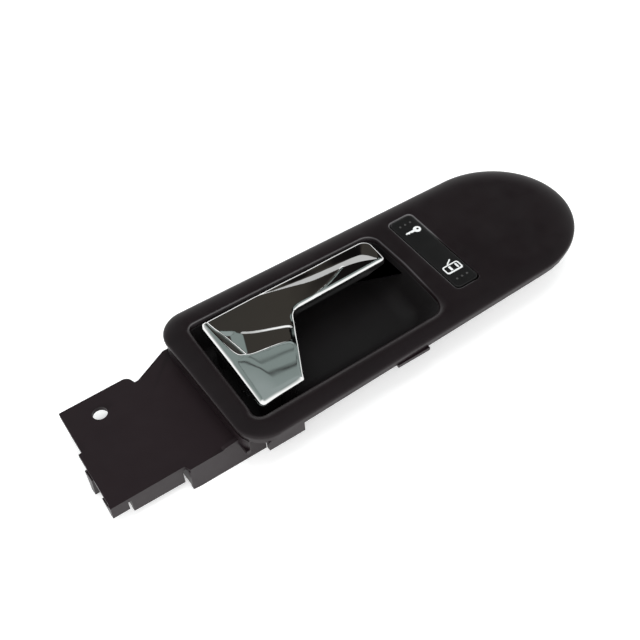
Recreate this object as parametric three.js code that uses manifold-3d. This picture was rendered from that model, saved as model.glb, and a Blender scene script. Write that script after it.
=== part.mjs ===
// Interior release handle of a car door: a trim plate with a finger recess, a chrome pull lever that pulls a
// release cable, and a rocker switch for the central locking, all on a moulded carrier with a mounting ear.
// Millimetres. +Z points out of the face, +X to the plate's round end, +Y to the side of the lever's arm.
// Every dimension below is in the plate's own frame: x = 0, y = 0 at the middle of the plate and z = 0 at
// its rim.

import * as THREE from 'three';
import { mergeVertices } from 'three/addons/utils/BufferGeometryUtils.js';
import Module from 'manifold-3d';

const wasm = await Module();
wasm.setup();

// ---------------------------------------------------------------- driving dimensions

const gap = 0.3;                 // between pieces that touch
const wall = 1.8;                // ordinary moulded wall
const rest = -22;                // lowest plane, on which the unit lies

const plateLeft = -91;
const plateLeftHalf = 38;        // half width at the square end
const plateCorner = 12.2;
const endStart = 55.4;           // where the round end begins
const endHalf = 34.2;            // half width there
const endReach = 35.6;
const plateUnder = -0.8;
const plateRise = 1.9;           // of the rolled edge
const rollWidth = 11.8;

const slabTop = plateUnder - gap;
const slabUnder = -3.8;
const slabInset = 1.0;           // the carrier's flange stands back this far under the plate's rim

const earTop = -9;
const earThick = 2;
const earLeft = -143.7;
const earHole = { x: -126.7, y: 18.9, radius: 3.1 };

// Recess opening in the plate and the trough below it, as corners [x, y, radius], anticlockwise.
const recessPlan = [
  [-82.1, -27.3, 4], [8.9, -26.2, 7], [10.4, 3, 60], [9.8, 25.9, 6], [-80.3, 28.1, 3],
];
const floorLevel = -17;
const troughAcross = [[-31.2, 6], [-15, floorLevel, 7], [26.4, floorLevel, 4], [29, 6]];       // y, z
const troughAlong = [[-83.4, 6], [-80.6, floorLevel, 3], [5.5, floorLevel, 8], [11.8, 6]];     // x, z

// Outline of the lever, anticlockwise from the paddle's near left corner.
const leverPlan = [
  [-77.3, -23.1, 2.6], [-57.6, -22.9, 2.6], [-43, 9.2, 6],
  [4.1, 9.3, 2.6], [5.1, 23.1, 4.5], [-76.2, 24.2, 2.6],
];
const leverBottom = -0.4;
const leverEdge = 2.6;           // height at which the top starts to round over
const leverTop = 4.6;
const leverRound = 2.2;
const leverSkin = 1.2;           // underside of the lever's skin over the hinge

const hinge = { x: -70, z: -3.5 };
const pinRadius = 1.5;
const barrelRadius = 4;
const barrelHalf = 13.5;
const lugGap = 0.5;
const lugThick = 4;
const crankLength = 13;

const rocker = { x: 24.7, y: 1.8, halfWidth: 5.7, halfLength: 23.4, corner: 2.2 };
const rockerSideGap = 0.35;
const rockerEndGap = 0.6;
const rockerTop = plateRise + 0.3;
const rockerPinLevel = -3.2;
const rockerPinRadius = 1;
const plungerArm = 8;            // from the rocker's pin to each plunger
const lampArm = 14.5;

const housingHalfWidth = 9.4;
const housingHalfLength = 21.6;
const housingWall = 1.6;
const housingTop = slabUnder - gap;
const housingFloor = -14;
const deckTop = -8.6;            // the housing's inner deck, which guides the plungers
const boardTop = -10.2;
const boardThick = 1.6;
const boardHalfLength = 19.8;
const switchMiddle = rocker.y + 0.2;     // of the board, the cover and the housing's tub
const terminalPitch = 3.5;
const terminalLength = 10.4;
const terminalHole = 0.7;        // half width

const arcStep = Math.PI / 10;    // coarsest turn between two facets of a rounded corner
const tall = 60;                 // length of a cutting tool that only has to be long enough

// ---------------------------------------------------------------- materials

function plastic(colour, roughness) {
  return new THREE.MeshStandardMaterial({ color: colour, roughness, metalness: 0 });
}

function metal(colour, roughness) {
  return new THREE.MeshStandardMaterial({ color: colour, roughness, metalness: 1 });
}

const plateBlack = () => plastic(0x1d191a, 0.42);
const carrierBlack = () => plastic(0x241f20, 0.6);
const bowlBlack = () => plastic(0x101012, 0.5);
const chrome = () => metal(0xd8dcdb, 0.06);
const steel = () => metal(0xa9abad, 0.32);
const zincSteel = () => metal(0xb9b6a6, 0.35);
const brass = () => metal(0xc9a24e, 0.3);
const naturalPlastic = () => plastic(0xd9d4c4, 0.45);
const rubber = () => plastic(0x161616, 0.85);
const boardGreen = () => plastic(0x1f5a38, 0.5);
const lampWhite = () => plastic(0xe9e6d2, 0.3);

// ---------------------------------------------------------------- outlines

// Points along an arc of an ellipse, ends included.
function arc(cx, cy, rx, ry, from, to, steps) {
  const points = [];
  for (let i = 0; i <= steps; i += 1) {
    const angle = from + ((to - from) * i) / steps;
    points.push(new THREE.Vector2(cx + rx * Math.cos(angle), cy + ry * Math.sin(angle)));
  }
  return points;
}

// The corner after or before corner i, as a point.
function neighbour(corners, i, step) {
  const [x, y] = corners[(i + step + corners.length) % corners.length];
  return new THREE.Vector2(x, y);
}

// Corners [x, y, radius] made into points, each radius as an arc.
function rounded(corners) {
  const points = [];
  corners.forEach(([x, y, radius = 0], i) => {
    const corner = new THREE.Vector2(x, y);
    if (radius === 0) {
      points.push(corner);
      return;
    }
    const back = neighbour(corners, i, -1).sub(corner).normalize();
    const ahead = neighbour(corners, i, 1).sub(corner).normalize();
    const half = Math.acos(back.dot(ahead)) / 2;
    const inward = back.clone().add(ahead).normalize();
    const centre = corner.clone().addScaledVector(inward, radius / Math.sin(half));
    const start = corner.clone().addScaledVector(back, radius / Math.tan(half)).sub(centre);
    const end = corner.clone().addScaledVector(ahead, radius / Math.tan(half)).sub(centre);
    const turn = Math.atan2(start.cross(end), start.dot(end));
    const steps = Math.max(2, Math.ceil(Math.abs(turn) / arcStep));
    for (let k = 0; k <= steps; k += 1) {
      points.push(start.clone().rotateAround(new THREE.Vector2(), (turn * k) / steps).add(centre));
    }
  });
  return points;
}

// Anticlockwise corners moved outwards by a distance, or inwards by a negative one.
function grown(corners, by) {
  return corners.map(([x, y, radius = 0], i) => {
    const corner = new THREE.Vector2(x, y);
    const arriving = corner.clone().sub(neighbour(corners, i, -1)).normalize();
    const leaving = neighbour(corners, i, 1).sub(corner).normalize();
    const normalA = new THREE.Vector2(arriving.y, -arriving.x);
    const normalB = new THREE.Vector2(leaving.y, -leaving.x);
    const reach = by / (1 + normalA.dot(normalB));
    const moved = corner.addScaledVector(normalA.add(normalB), reach);
    const turnSign = Math.sign(arriving.cross(leaving));
    const newRadius = radius === 0 ? 0 : Math.max(radius + turnSign * by, 0.2);
    return [moved.x, moved.y, newRadius];
  });
}

// The tongue-shaped outline of the plate, standing back from its rim by an inset.
function tongue(inset) {
  const radius = plateCorner - inset;
  const left = plateLeft + inset + radius;
  const side = plateLeftHalf - inset - radius;
  const quarter = Math.PI / 2;
  return [
    ...arc(left, -side, radius, radius, 2 * quarter, 3 * quarter, 6),
    ...arc(endStart, 0, endReach - inset, endHalf - inset, -quarter, quarter, 22),
    ...arc(left, side, radius, radius, quarter, 2 * quarter, 6),
  ];
}

function rectangle(x0, x1, y0, y1, radius = 0) {
  return [[x0, y0, radius], [x1, y0, radius], [x1, y1, radius], [x0, y1, radius]];
}

// ---------------------------------------------------------------- solids

// A solid that can be joined and cut, from a closed three.js geometry.
function solid(geometry) {
  const bare = geometry.clone();
  bare.deleteAttribute('normal');
  bare.deleteAttribute('uv');
  const merged = mergeVertices(bare, 1e-4);
  const mesh = new wasm.Mesh({
    numProp: 3,
    vertProperties: new Float32Array(merged.attributes.position.array),
    triVerts: new Uint32Array(merged.index.array),
  });
  return new wasm.Manifold(mesh);
}

function geometryOf(body) {
  const mesh = body.getMesh();
  const geometry = new THREE.BufferGeometry();
  geometry.setAttribute('position', new THREE.BufferAttribute(mesh.vertProperties, 3));
  geometry.setIndex(new THREE.BufferAttribute(mesh.triVerts, 1));
  geometry.computeVertexNormals();
  return geometry;
}

function extruded(points, depth) {
  return new THREE.ExtrudeGeometry(new THREE.Shape(points), { depth, bevelEnabled: false });
}

// A prism standing on the XY plane: points are x, y.
function prismZ(points, low, high) {
  return solid(extruded(points, high - low).translate(0, 0, low));
}

// A prism along Y: points are x, z.
function prismY(points, low, high) {
  return solid(extruded(points, high - low).rotateX(Math.PI / 2).translate(0, high, 0));
}

// A prism along X: points are y, z.
function prismX(points, low, high) {
  const turned = extruded(points, high - low).rotateX(Math.PI / 2).rotateZ(Math.PI / 2);
  return solid(turned.translate(low, 0, 0));
}

function block(x0, x1, y0, y1, z0, z1) {
  const box = new THREE.BoxGeometry(x1 - x0, y1 - y0, z1 - z0);
  return solid(box.translate((x0 + x1) / 2, (y0 + y1) / 2, (z0 + z1) / 2));
}

// Round bar along Z.
function barZ(x, y, radius, low, high, sides = 16) {
  const bar = new THREE.CylinderGeometry(radius, radius, high - low, sides);
  return solid(bar.rotateX(Math.PI / 2).translate(x, y, (low + high) / 2));
}

// Round bar along Y.
function barY(x, z, radius, low, high, sides = 16) {
  const bar = new THREE.CylinderGeometry(radius, radius, high - low, sides);
  return solid(bar.translate(x, (low + high) / 2, z));
}

// Round bar along X.
function barX(y, z, radius, low, high, sides = 16) {
  const bar = new THREE.CylinderGeometry(radius, radius, high - low, sides);
  return solid(bar.rotateZ(Math.PI / 2).translate((low + high) / 2, y, z));
}

function union(pieces) {
  return pieces.reduce((whole, piece) => whole.add(piece));
}

function cut(body, tools) {
  return tools.reduce((left, tool) => left.subtract(tool), body);
}

function mesh(name, material, shape) {
  const geometry = shape.isBufferGeometry ? shape : geometryOf(shape);
  const made = new THREE.Mesh(geometry, material);
  made.name = name;
  return made;
}

// ---------------------------------------------------------------- trim plate

const plateScrewPlaces = [[-60, 33.4], [-8, 32.3], [48, 21], [48, -17], [74, 0]];
const plateScrew = { head: 2.6, headThick: 1.5, shank: 0.9, boss: 2.1, bossUnder: -3.4 };

function rockerOutline(sideGrow, endGrow) {
  const x = rocker.halfWidth + sideGrow;
  const y = rocker.halfLength + endGrow;
  return rounded(rectangle(rocker.x - x, rocker.x + x, rocker.y - y, rocker.y + y, rocker.corner));
}

function facePlate() {
  const rolled = new THREE.ExtrudeGeometry(new THREE.Shape(tongue(0)), {
    depth: 4,
    bevelThickness: plateRise,
    bevelSize: rollWidth,
    bevelOffset: -rollWidth,
    bevelSegments: 5,
  }).translate(0, 0, -4);
  const body = solid(rolled).intersect(block(-tall * 2, tall * 2, -tall, tall, plateUnder, tall));
  const bosses = plateScrewPlaces.map(([x, y]) => barZ(x, y, plateScrew.boss, plateScrew.bossUnder, 0));
  const bores = plateScrewPlaces.map(([x, y]) => barZ(x, y, plateScrew.shank + gap, -tall, 0.2, 12));
  return cut(union([body, ...bosses]), [
    prismZ(rounded(recessPlan), -tall, tall),
    prismZ(rockerOutline(rockerSideGap, rockerEndGap), -tall, tall),
    ...bores,
  ]);
}

// ---------------------------------------------------------------- finger bowl

const bowlFlange = { reach: 3, under: slabTop - 1.3 };
const window = { left: -76, right: -56, half: 4.5 };          // in the floor, for the crank
const bumper = { x: -62, y: -17, radius: 2.6, seat: -4 };

// The trough of the recess, grown outwards by a wall: plan outline, cross slope and end slope at once.
function trough(by) {
  return prismZ(rounded(grown(recessPlan, by)), -tall, 5)
    .intersect(prismX(rounded(grown(troughAcross, by)), -tall * 2, tall))
    .intersect(prismY(rounded(grown(troughAlong, by)), -tall, tall));
}

// Upright that carries one end of the lever's pin.
function hingeLug(inner, outer) {
  const low = floorLevel - wall / 2;
  const post = block(hinge.x - barrelRadius, hinge.x + barrelRadius, inner, outer, low, hinge.z);
  return post.add(barY(hinge.x, hinge.z, barrelRadius, inner, outer, 20));
}

function lugSpan(side) {
  const inner = side * (barrelHalf + lugGap);
  const outer = side * (barrelHalf + lugGap + lugThick);
  return [Math.min(inner, outer), Math.max(inner, outer)];
}

function fingerBowl() {
  const shell = cut(trough(wall), [block(-tall * 2, tall, -tall, tall, slabTop, tall)]);
  const flange = prismZ(rounded(grown(recessPlan, bowlFlange.reach)), bowlFlange.under, slabTop);
  const hollow = cut(shell.add(flange), [trough(0)]);
  const lugs = [-1, 1].map((side) => hingeLug(...lugSpan(side)));
  const stand = barZ(bumper.x, bumper.y, bumper.radius + 0.6, floorLevel + 2, bumper.seat, 16);
  const bushRadius = pinRadius + 1.2;
  const bushBores = [-1, 1].map((side) => {
    const [low, high] = lugSpan(side);
    return barY(hinge.x, hinge.z, bushRadius + 0.02, low - gap, high + gap, 20);
  });
  const crankWindow = block(window.left, window.right, -window.half, window.half, -tall, floorLevel + 1);
  return cut(union([hollow, ...lugs, stand]), [crankWindow, ...bushBores]);
}

// ---------------------------------------------------------------- lever and its hinge

const leverScrewPlaces = [[-61, -10], [-61, 10]];
const leverScrew = { head: 2.5, headThick: 1.4, shank: 1.1, boss: 2.5, bossUnder: -1 };
const pad = { left: -73.5, right: -57.6, half: 13.3, under: -1.6, top: leverSkin - gap };

function chromeLever() {
  const body = solid(new THREE.ExtrudeGeometry(new THREE.Shape(rounded(leverPlan)), {
    depth: 6,
    bevelThickness: leverTop - leverEdge,
    bevelSize: leverRound,
    bevelOffset: -leverRound,
    bevelSegments: 4,
  }).translate(0, 0, leverEdge - 6));
  const upright = body.intersect(block(-tall * 2, tall, -tall, tall, leverBottom, tall));
  const pocket = prismZ(rounded(grown(leverPlan, -2)), -tall, leverSkin)
    .intersect(block(-tall * 2, -48, -tall, tall, -tall, tall));
  const bosses = leverScrewPlaces.map(([x, y]) => barZ(x, y, leverScrew.boss, leverScrew.bossUnder, 2));
  const bores = leverScrewPlaces.map(([x, y]) => barZ(x, y, leverScrew.shank + gap, -tall, 2.4, 12));
  return cut(union([cut(upright, [pocket]), ...bosses]), bores);
}

// Hinge barrel, pad under the lever's skin, and crank down to the release cable.
function leverCore() {
  const barrel = barY(hinge.x, hinge.z, barrelRadius, -barrelHalf, barrelHalf, 24);
  const top = block(pad.left, pad.right, -pad.half, pad.half, pad.under, pad.top);
  const tip = hinge.z - crankLength;
  const crank = prismY(rounded([
    [hinge.x - 3, tip - 3, 2.8], [hinge.x + 3, tip - 3, 2.8], [hinge.x + 4, hinge.z], [hinge.x - 4, hinge.z],
  ]), -2.5, 2.5);
  const slotForEye = barY(hinge.x, tip, 1.6, -tall, tall, 12);
  const slotForWire = block(hinge.x - 8, hinge.x, -0.9, 0.9, tip - 1.5, tip + 1.5);
  const bossRoom = leverScrewPlaces.map(([x, y]) => barZ(x, y, leverScrew.boss + gap, -tall, tall));
  return cut(union([barrel, top, crank]), [
    barY(hinge.x, hinge.z, pinRadius + 0.05, -tall, tall, 20),
    slotForEye,
    slotForWire,
    ...bossRoom,
  ]);
}

// Screw with a pan head, its bearing face at z = 0 and its shank pointing up.
function panScrew(head, headThick, shank, shankLength) {
  const profile = [
    [0, -headThick],
    [head * 0.7, -headThick],
    [head, -headThick * 0.45],
    [head, 0],
    [shank, 0],
    [shank, shankLength - shank],
    [0, shankLength],
  ].map(([r, z]) => new THREE.Vector2(r, z));
  const body = solid(new THREE.LatheGeometry(profile, 16).rotateX(Math.PI / 2));
  const across = block(-head * 0.55, head * 0.55, -0.35, 0.35, -headThick - 1, -headThick + 0.6);
  const along = block(-0.35, 0.35, -head * 0.55, head * 0.55, -headThick - 1, -headThick + 0.6);
  return cut(body, [across, along]);
}

function bush(low, high) {
  const outer = barY(hinge.x, hinge.z, pinRadius + 1.2 - 0.02, low, high, 20);
  return cut(outer, [barY(hinge.x, hinge.z, pinRadius + 0.04, -tall, tall, 20)]);
}

const springPlace = { start: barrelHalf + lugGap + lugThick + 0.5, turns: 3, radius: 2.75, wire: 0.4 };

// Return spring: turns round the pin, one leg down to the bowl and one out under the lever.
function torsionSpring() {
  const { start, turns, radius, wire } = springPlace;
  const pitch = 2 * wire + 0.15;
  const stepsPerTurn = 10;
  const path = [new THREE.Vector3(hinge.x - radius, start, hinge.z - 9)];
  for (let i = 0; i <= turns * stepsPerTurn + stepsPerTurn / 4; i += 1) {
    const angle = Math.PI - (i / stepsPerTurn) * 2 * Math.PI;
    path.push(new THREE.Vector3(
      hinge.x + radius * Math.cos(angle),
      start + (i / stepsPerTurn) * pitch,
      hinge.z + radius * Math.sin(angle),
    ));
  }
  const last = path[path.length - 1];
  path.push(new THREE.Vector3(hinge.x + 9, last.y, last.z));
  const curve = new THREE.CatmullRomCurve3(path, false, 'centripetal');
  const section = new THREE.Shape(arc(0, 0, wire, wire, 0, (2 * Math.PI * 5) / 6, 5));
  const steps = path.length * 2;
  return new THREE.ExtrudeGeometry(section, { steps, bevelEnabled: false, extrudePath: curve });
}

// ---------------------------------------------------------------- lock switch

const rockerFoot = -7;
const plungerTop = rockerFoot - gap;
const plungerRadius = 1.6;

function rockerButton() {
  const cap = new THREE.ExtrudeGeometry(new THREE.Shape(rockerOutline(0, 0)), {
    depth: 3,
    bevelThickness: 0.5,
    bevelSize: 0.6,
    bevelOffset: -0.6,
    bevelSegments: 2,
  }).translate(0, 0, rockerTop - 3.5);
  const bottom = rockerTop - 3;
  const body = solid(cap).intersect(block(-tall, tall, -tall, tall, bottom, tall));
  const { x, y } = rocker;
  const stem = block(x - 4.2, x + 4.2, y - 19, y + 19, rockerFoot + 3, bottom + 0.5);
  const feet = [-1, 1].map((side) => {
    const centre = y + side * plungerArm;
    return block(x - 2.6, x + 2.6, centre - 2.4, centre + 2.4, rockerFoot, rockerFoot + 3.5);
  });
  const lightWells = [-1, 1].map((side) => {
    const centre = y + side * lampArm;
    return block(x - 2.8, x + 2.8, centre - 2.2, centre + 2.2, -tall, rockerTop - 1.4);
  });
  const bore = barX(y, rockerPinLevel, rockerPinRadius + 0.05, -tall, tall, 16);
  const dots = [-1, 1].flatMap((side) => [-1, 0, 1].map((column) => {
    const dotY = y + side * 19.2;
    return barZ(x + column * 2.6, dotY, 0.45, rockerTop - 0.5, rockerTop + 0.25, 8);
  }));
  return cut(union([body, stem, ...feet, ...dots]), [...lightWells, bore]);
}

const switchEarPlaces = [[37.6, 13], [37.6, -9]];
const switchScrew = { head: 2.6, headThick: 1.5, shank: 1.0 };
const cheek = { inner: 4.8, outer: 8.4, half: 3.2 };      // uprights that carry the rocker's pin

function switchHousing() {
  const { x, y } = rocker;
  const half = housingHalfWidth;
  const collar = block(x - half, x + half, y - 25.6, y + 25.6, housingTop - 3.4, housingTop);
  const tub = block(x - half, x + half, switchMiddle - housingHalfLength, switchMiddle + housingHalfLength,
    housingFloor, housingTop - 3);
  const ears = switchEarPlaces.map(([earX, earY]) => (
    block(x + half - 0.5, earX + 3.6, earY - 3.6, earY + 3.6, housingTop - 2.2, housingTop)
  ));
  const bores = switchEarPlaces.map(([earX, earY]) => (
    barZ(earX, earY, switchScrew.shank + gap, -tall, tall, 12)
  ));
  const room = half - housingWall;
  const roomLength = boardHalfLength + gap;
  const low = switchMiddle - roomLength;
  const high = switchMiddle + roomLength;
  const upper = block(x - room, x + room, y - 24.2, y + 24.2, housingTop - 1.9, tall);
  const middle = block(x - room, x + room, low, high, deckTop, tall);
  const lower = block(x - room, x + room, low, high, -tall, deckTop - 1.2);
  const guides = [-1, 1].map((side) => (
    barZ(x, y + side * plungerArm, plungerRadius + 0.1, -tall, tall, 16)
  ));
  const lightWells = [-1, 1].map((side) => {
    const centre = y + side * lampArm;
    return block(x - 2.6, x + 2.6, centre - 2, centre + 2, -tall, deckTop + 1);
  });
  const cheeks = [-1, 1].map((side) => {
    const middleX = x + (side * (cheek.inner + cheek.outer)) / 2;
    const halfThick = (cheek.outer - cheek.inner) / 2;
    return block(middleX - halfThick, middleX + halfThick, y - cheek.half, y + cheek.half,
      deckTop - 0.5, rockerPinLevel + 1.8);
  });
  const pinBore = barX(y, rockerPinLevel, rockerPinRadius + 0.02, x - half + 0.8, x + half - 0.8, 16);
  const shell = cut(union([collar, tub, ...ears]), [upper, middle, lower, ...bores]);
  return cut(shell.add(union(cheeks)), [...guides, ...lightWells, pinBore]);
}

function terminalX(i) {
  return rocker.x + (i - 1.5) * terminalPitch;
}

const terminalY = rocker.y + 2;
const shroud = { halfWidth: 8.8, low: rocker.y - 9, high: rocker.y + 11.5, wall: 1.4 };
const coverTop = housingFloor + 1.6;

// Square holes for the four terminals.
function terminalHoles() {
  return [0, 1, 2, 3].map((i) => (
    block(terminalX(i) - terminalHole, terminalX(i) + terminalHole,
      terminalY - terminalHole, terminalY + terminalHole, -tall, tall)
  ));
}

// A slab that fits inside the housing's walls.
function insideHousing(low, high) {
  const inner = housingHalfWidth - housingWall - gap;
  return block(rocker.x - inner, rocker.x + inner, switchMiddle - boardHalfLength,
    switchMiddle + boardHalfLength, low, high);
}

function switchCover() {
  const { x } = rocker;
  const plug = insideHousing(housingFloor - 1, coverTop);
  const lip = block(x - housingHalfWidth, x + housingHalfWidth, switchMiddle - housingHalfLength,
    switchMiddle + housingHalfLength, housingFloor - gap - 1.2, housingFloor - gap);
  const { halfWidth, low, high } = shroud;
  const socket = block(x - halfWidth, x + halfWidth, low, high, rest, housingFloor - 1);
  const mouth = block(x - halfWidth + shroud.wall, x + halfWidth - shroud.wall,
    low + shroud.wall, high - shroud.wall, -tall, housingFloor - 1.6);
  const latchWindow = block(x - 2.5, x + 2.5, high - shroud.wall - 0.5, high + 1, rest + 2, rest + 4);
  return cut(union([plug, lip, socket]), [mouth, latchWindow, ...terminalHoles()]);
}

function circuitBoard() {
  return cut(insideHousing(boardTop - boardThick, boardTop), terminalHoles());
}

// Surface-mounted lamp with its base at z = 0.
function lamp() {
  const base = block(-1.6, 1.6, -1.4, 1.4, 0, 0.7);
  return base.add(barZ(0, 0, 1.1, 0.6, 1.3, 12));
}

// Plunger with a collar that the spring pushes on, its top at z = 0.
function plunger() {
  const stem = barZ(0, 0, plungerRadius, -1.4, 0, 16);
  return stem.add(barZ(0, 0, plungerRadius - 0.6, -1.9, -1.2, 16));
}

class Helix extends THREE.Curve {
  constructor(radius, height, turns) {
    super();
    this.radius = radius;
    this.height = height;
    this.turns = turns;
  }

  getPoint(t, target = new THREE.Vector3()) {
    const angle = 2 * Math.PI * this.turns * t;
    return target.set(this.radius * Math.cos(angle), this.radius * Math.sin(angle), this.height * t);
  }
}

// Small coil spring standing on z = 0.
function coilSpring(height) {
  const wire = 0.14;
  const turns = 2.5;
  const section = new THREE.Shape(arc(0, 0, wire, wire, 0, (2 * Math.PI * 4) / 5, 4));
  const path = new Helix(1.25, height - 2 * wire, turns);
  const steps = turns * 10;
  const coil = new THREE.ExtrudeGeometry(section, { steps, bevelEnabled: false, extrudePath: path });
  return coil.translate(0, 0, wire);
}

// ---------------------------------------------------------------- carrier

// Deep part of the carrier below the ear, open below.
const boxSide = { left: -112, right: -79, near: -25.7, far: 26 };
const earSide = { near: -23.1, far: 28.6, under: earTop - earThick + 0.1 };
const endBlockLow = -15.2;
const stepLeft = plateLeft + 0.7;        // the wall between ear and flange
const stepFar = 31.9;

// Locating lugs on the flange's near edge, each a small upright below it.
const edgeLugs = [
  { left: -83, right: -67, near: -36.6, far: -34.6, low: -8.5 },
  { left: -22, right: -6.5, near: -36, far: -34.2, low: -5.2 },
];
const endRibPlaces = [52, 68];           // x of the cross ribs below the round end
const endRibLow = -8.5;

// Flange under the plate, with the openings for bowl and switch.
function carrierFlange() {
  const slab = prismZ(tongue(slabInset), slabUnder, slabTop);
  const rebate = prismZ(rounded(grown(recessPlan, bowlFlange.reach + gap)), bowlFlange.under - gap, tall);
  return cut(slab, [
    rebate,
    prismZ(rounded(grown(recessPlan, wall + gap)), -tall, tall),
    prismZ(rockerOutline(1.6, 1.6), -tall, tall),
    block(rocker.x - cheek.outer - gap, rocker.x + cheek.outer + gap,
      rocker.y - cheek.half - gap, rocker.y + cheek.half + gap, -tall, tall),
  ]);
}

// Flat ear with its screw hole, reaching under the plate's square end.
function mountingEar() {
  const outline = rounded([
    [earLeft, earSide.near], [-112.4, earSide.near], [-111.6, boxSide.near], [-84, boxSide.near],
    [-84, stepFar], [-91.2, stepFar, 1.5], [-108, 23.8, 0.8], [-109.6, earSide.far, 3],
    [-140, earSide.far, 0.6], [-141.1, 6.3], [-142.5, 6.1],
  ]);
  return prismZ(outline, earTop - earThick, earTop);
}

// Upright between the ear and the flange.
function stepWall() {
  const top = slabUnder + 0.1;
  const upright = block(stepLeft, stepLeft + wall, -31.5, stepFar, earTop - earThick, top);
  const foot = prismY([
    new THREE.Vector2(stepLeft - 1, earTop - 0.1),
    new THREE.Vector2(stepLeft + 0.1, earTop - 0.1),
    new THREE.Vector2(stepLeft + 0.1, earTop + 1),
  ], boxSide.near + 0.2, stepFar - 0.9);
  const link = block(stepLeft, -84, boxSide.near, boxSide.near + wall, earTop - earThick, top);
  const farLink = block(stepLeft, -70, stepFar - wall, stepFar, -10, top);
  const underPlate = prismZ(tongue(stepLeft - plateLeft), earTop - earThick / 2, tall);
  const walls = union([upright, link, farLink]);
  const low = walls.intersect(block(-tall * 2, tall, -tall, tall, -tall, earTop - 0.1));
  return union([low, walls.intersect(underPlate), foot.intersect(underPlate)]);
}

// Walls of the deep part, which guide the cable to the crank.
function deepBox() {
  const { left, right, near, far } = boxSide;
  const roof = earSide.under;
  const nearWall = prismY([
    [left, rest + 0.5], [left + 3, rest], [right, rest], [right, -9], [-84, -7.8], [-90, -7.6], [-96, -8.4],
    [-100, -10.4], [left, -10.5],
  ].map(([x, z]) => new THREE.Vector2(x, z)), near, near + wall);
  const farWall = block(left, -84.2, far - wall, far, rest, roof);
  const leftWall = block(left, left + wall, near, far, rest + 2, roof);
  const rightWall = block(-85.4, -83.6, near, far, -19, roof);
  const cableRib = block(-104, -102, -11, 11, -20, roof);
  const cableRoom = block(-tall * 4, -80, -2.6, 2.6, -tall, -15);
  const seatBore = barX(0, -15, 2.6, -tall * 4, -80, 16);
  return cut(union([nearWall, farWall, leftWall, rightWall, cableRib]), [cableRoom, seatBore]);
}

// Near-side walls, corner gusset and hook leg of the ear.
function earDetails() {
  const { near, far, under } = earSide;
  const endBlock = block(-144, -136.9, near, near + 2, endBlockLow, earTop);
  const gusset = prismX([
    [near, endBlockLow],
    [near + 2.4, endBlockLow],
    [near + 7.5, earTop - earThick],
    [near, earTop - earThick],
  ].map(([y, z]) => new THREE.Vector2(y, z)), -144, -142.2);
  const secondBlock = prismY([
    [-135.6, -17.8], [-113.7, -18.2], [-113.7, under], [-135.6, under],
  ].map(([x, z]) => new THREE.Vector2(x, z)), near, near + 2);
  const secondReturn = block(-135.6, -133.8, near, near + 9, -16.5, under);
  const leg = prismX([
    [-4.8, rest], [-1.9, rest], [-0.6, under], [-6.4, under],
  ].map(([y, z]) => new THREE.Vector2(y, z)), -143.6, -141.8);
  const farRib = block(-139.6, boxSide.left, far - wall, far, -14, under);
  const midRib = block(-141.8, boxSide.left, -3.4, -1.8, -15, under);
  return union([endBlock, gusset, secondBlock, secondReturn, leg, farRib, midRib]);
}

// Locating lugs on the near edge and stiffening ribs below the flange.
function flangeDetails() {
  const top = slabUnder + 0.1;
  const lugs = edgeLugs.map(({ left, right, near, far, low }) => block(left, right, near, far, low, top));
  const nearRib = block(-58, 10, -30.4, -29.2, -5.4, top);
  const crossRibs = endRibPlaces.map((x) => block(x, x + 1.5, -21, 21, endRibLow, top));
  const spine = block(41.6, endRibPlaces[1] + 1, -0.8, 0.8, endRibLow, top);
  return union([...lugs, nearRib, ...crossRibs, spine]);
}

function carrier() {
  const whole = union([carrierFlange(), mountingEar(), stepWall(), deepBox(), earDetails(), flangeDetails()]);
  const bossRoom = plateScrewPlaces.map(([x, y]) => barZ(x, y, plateScrew.boss + gap, slabUnder - 3, tall));
  const switchBores = switchEarPlaces.map(([x, y]) => barZ(x, y, switchScrew.shank + gap, -5, tall, 12));
  const switchRoom = block(rocker.x - housingHalfWidth - gap, rocker.x + housingHalfWidth + gap,
    rocker.y - 26, rocker.y + 26, -tall, slabUnder);
  return cut(whole, [
    barZ(earHole.x, earHole.y, earHole.radius, -tall, tall, 32),
    trough(wall + gap),
    switchRoom,
    ...bossRoom,
    ...switchBores,
  ]);
}

// ---------------------------------------------------------------- assembly

const unit = new THREE.Group();

unit.add(mesh('face_plate', plateBlack(), facePlate()));
unit.add(mesh('finger_bowl', bowlBlack(), fingerBowl()));
unit.add(mesh('carrier', carrierBlack(), carrier()));

plateScrewPlaces.forEach(([x, y], i) => {
  const { head, headThick, shank } = plateScrew;
  const screw = mesh(`plate_screw_${i + 1}`, zincSteel(), panScrew(head, headThick, shank, 3.6));
  screw.position.set(x, y, slabUnder - gap);
  unit.add(screw);
});

const lever = new THREE.Group();
lever.add(mesh('chrome_lever', chrome(), chromeLever()));
lever.add(mesh('lever_core', carrierBlack(), leverCore()));
leverScrewPlaces.forEach(([x, y], i) => {
  const { head, headThick, shank } = leverScrew;
  const screw = mesh(`lever_screw_${i + 1}`, zincSteel(), panScrew(head, headThick, shank, 3.4));
  screw.position.set(x, y, leverScrew.bossUnder - gap);
  lever.add(screw);
});
unit.add(lever);

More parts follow.
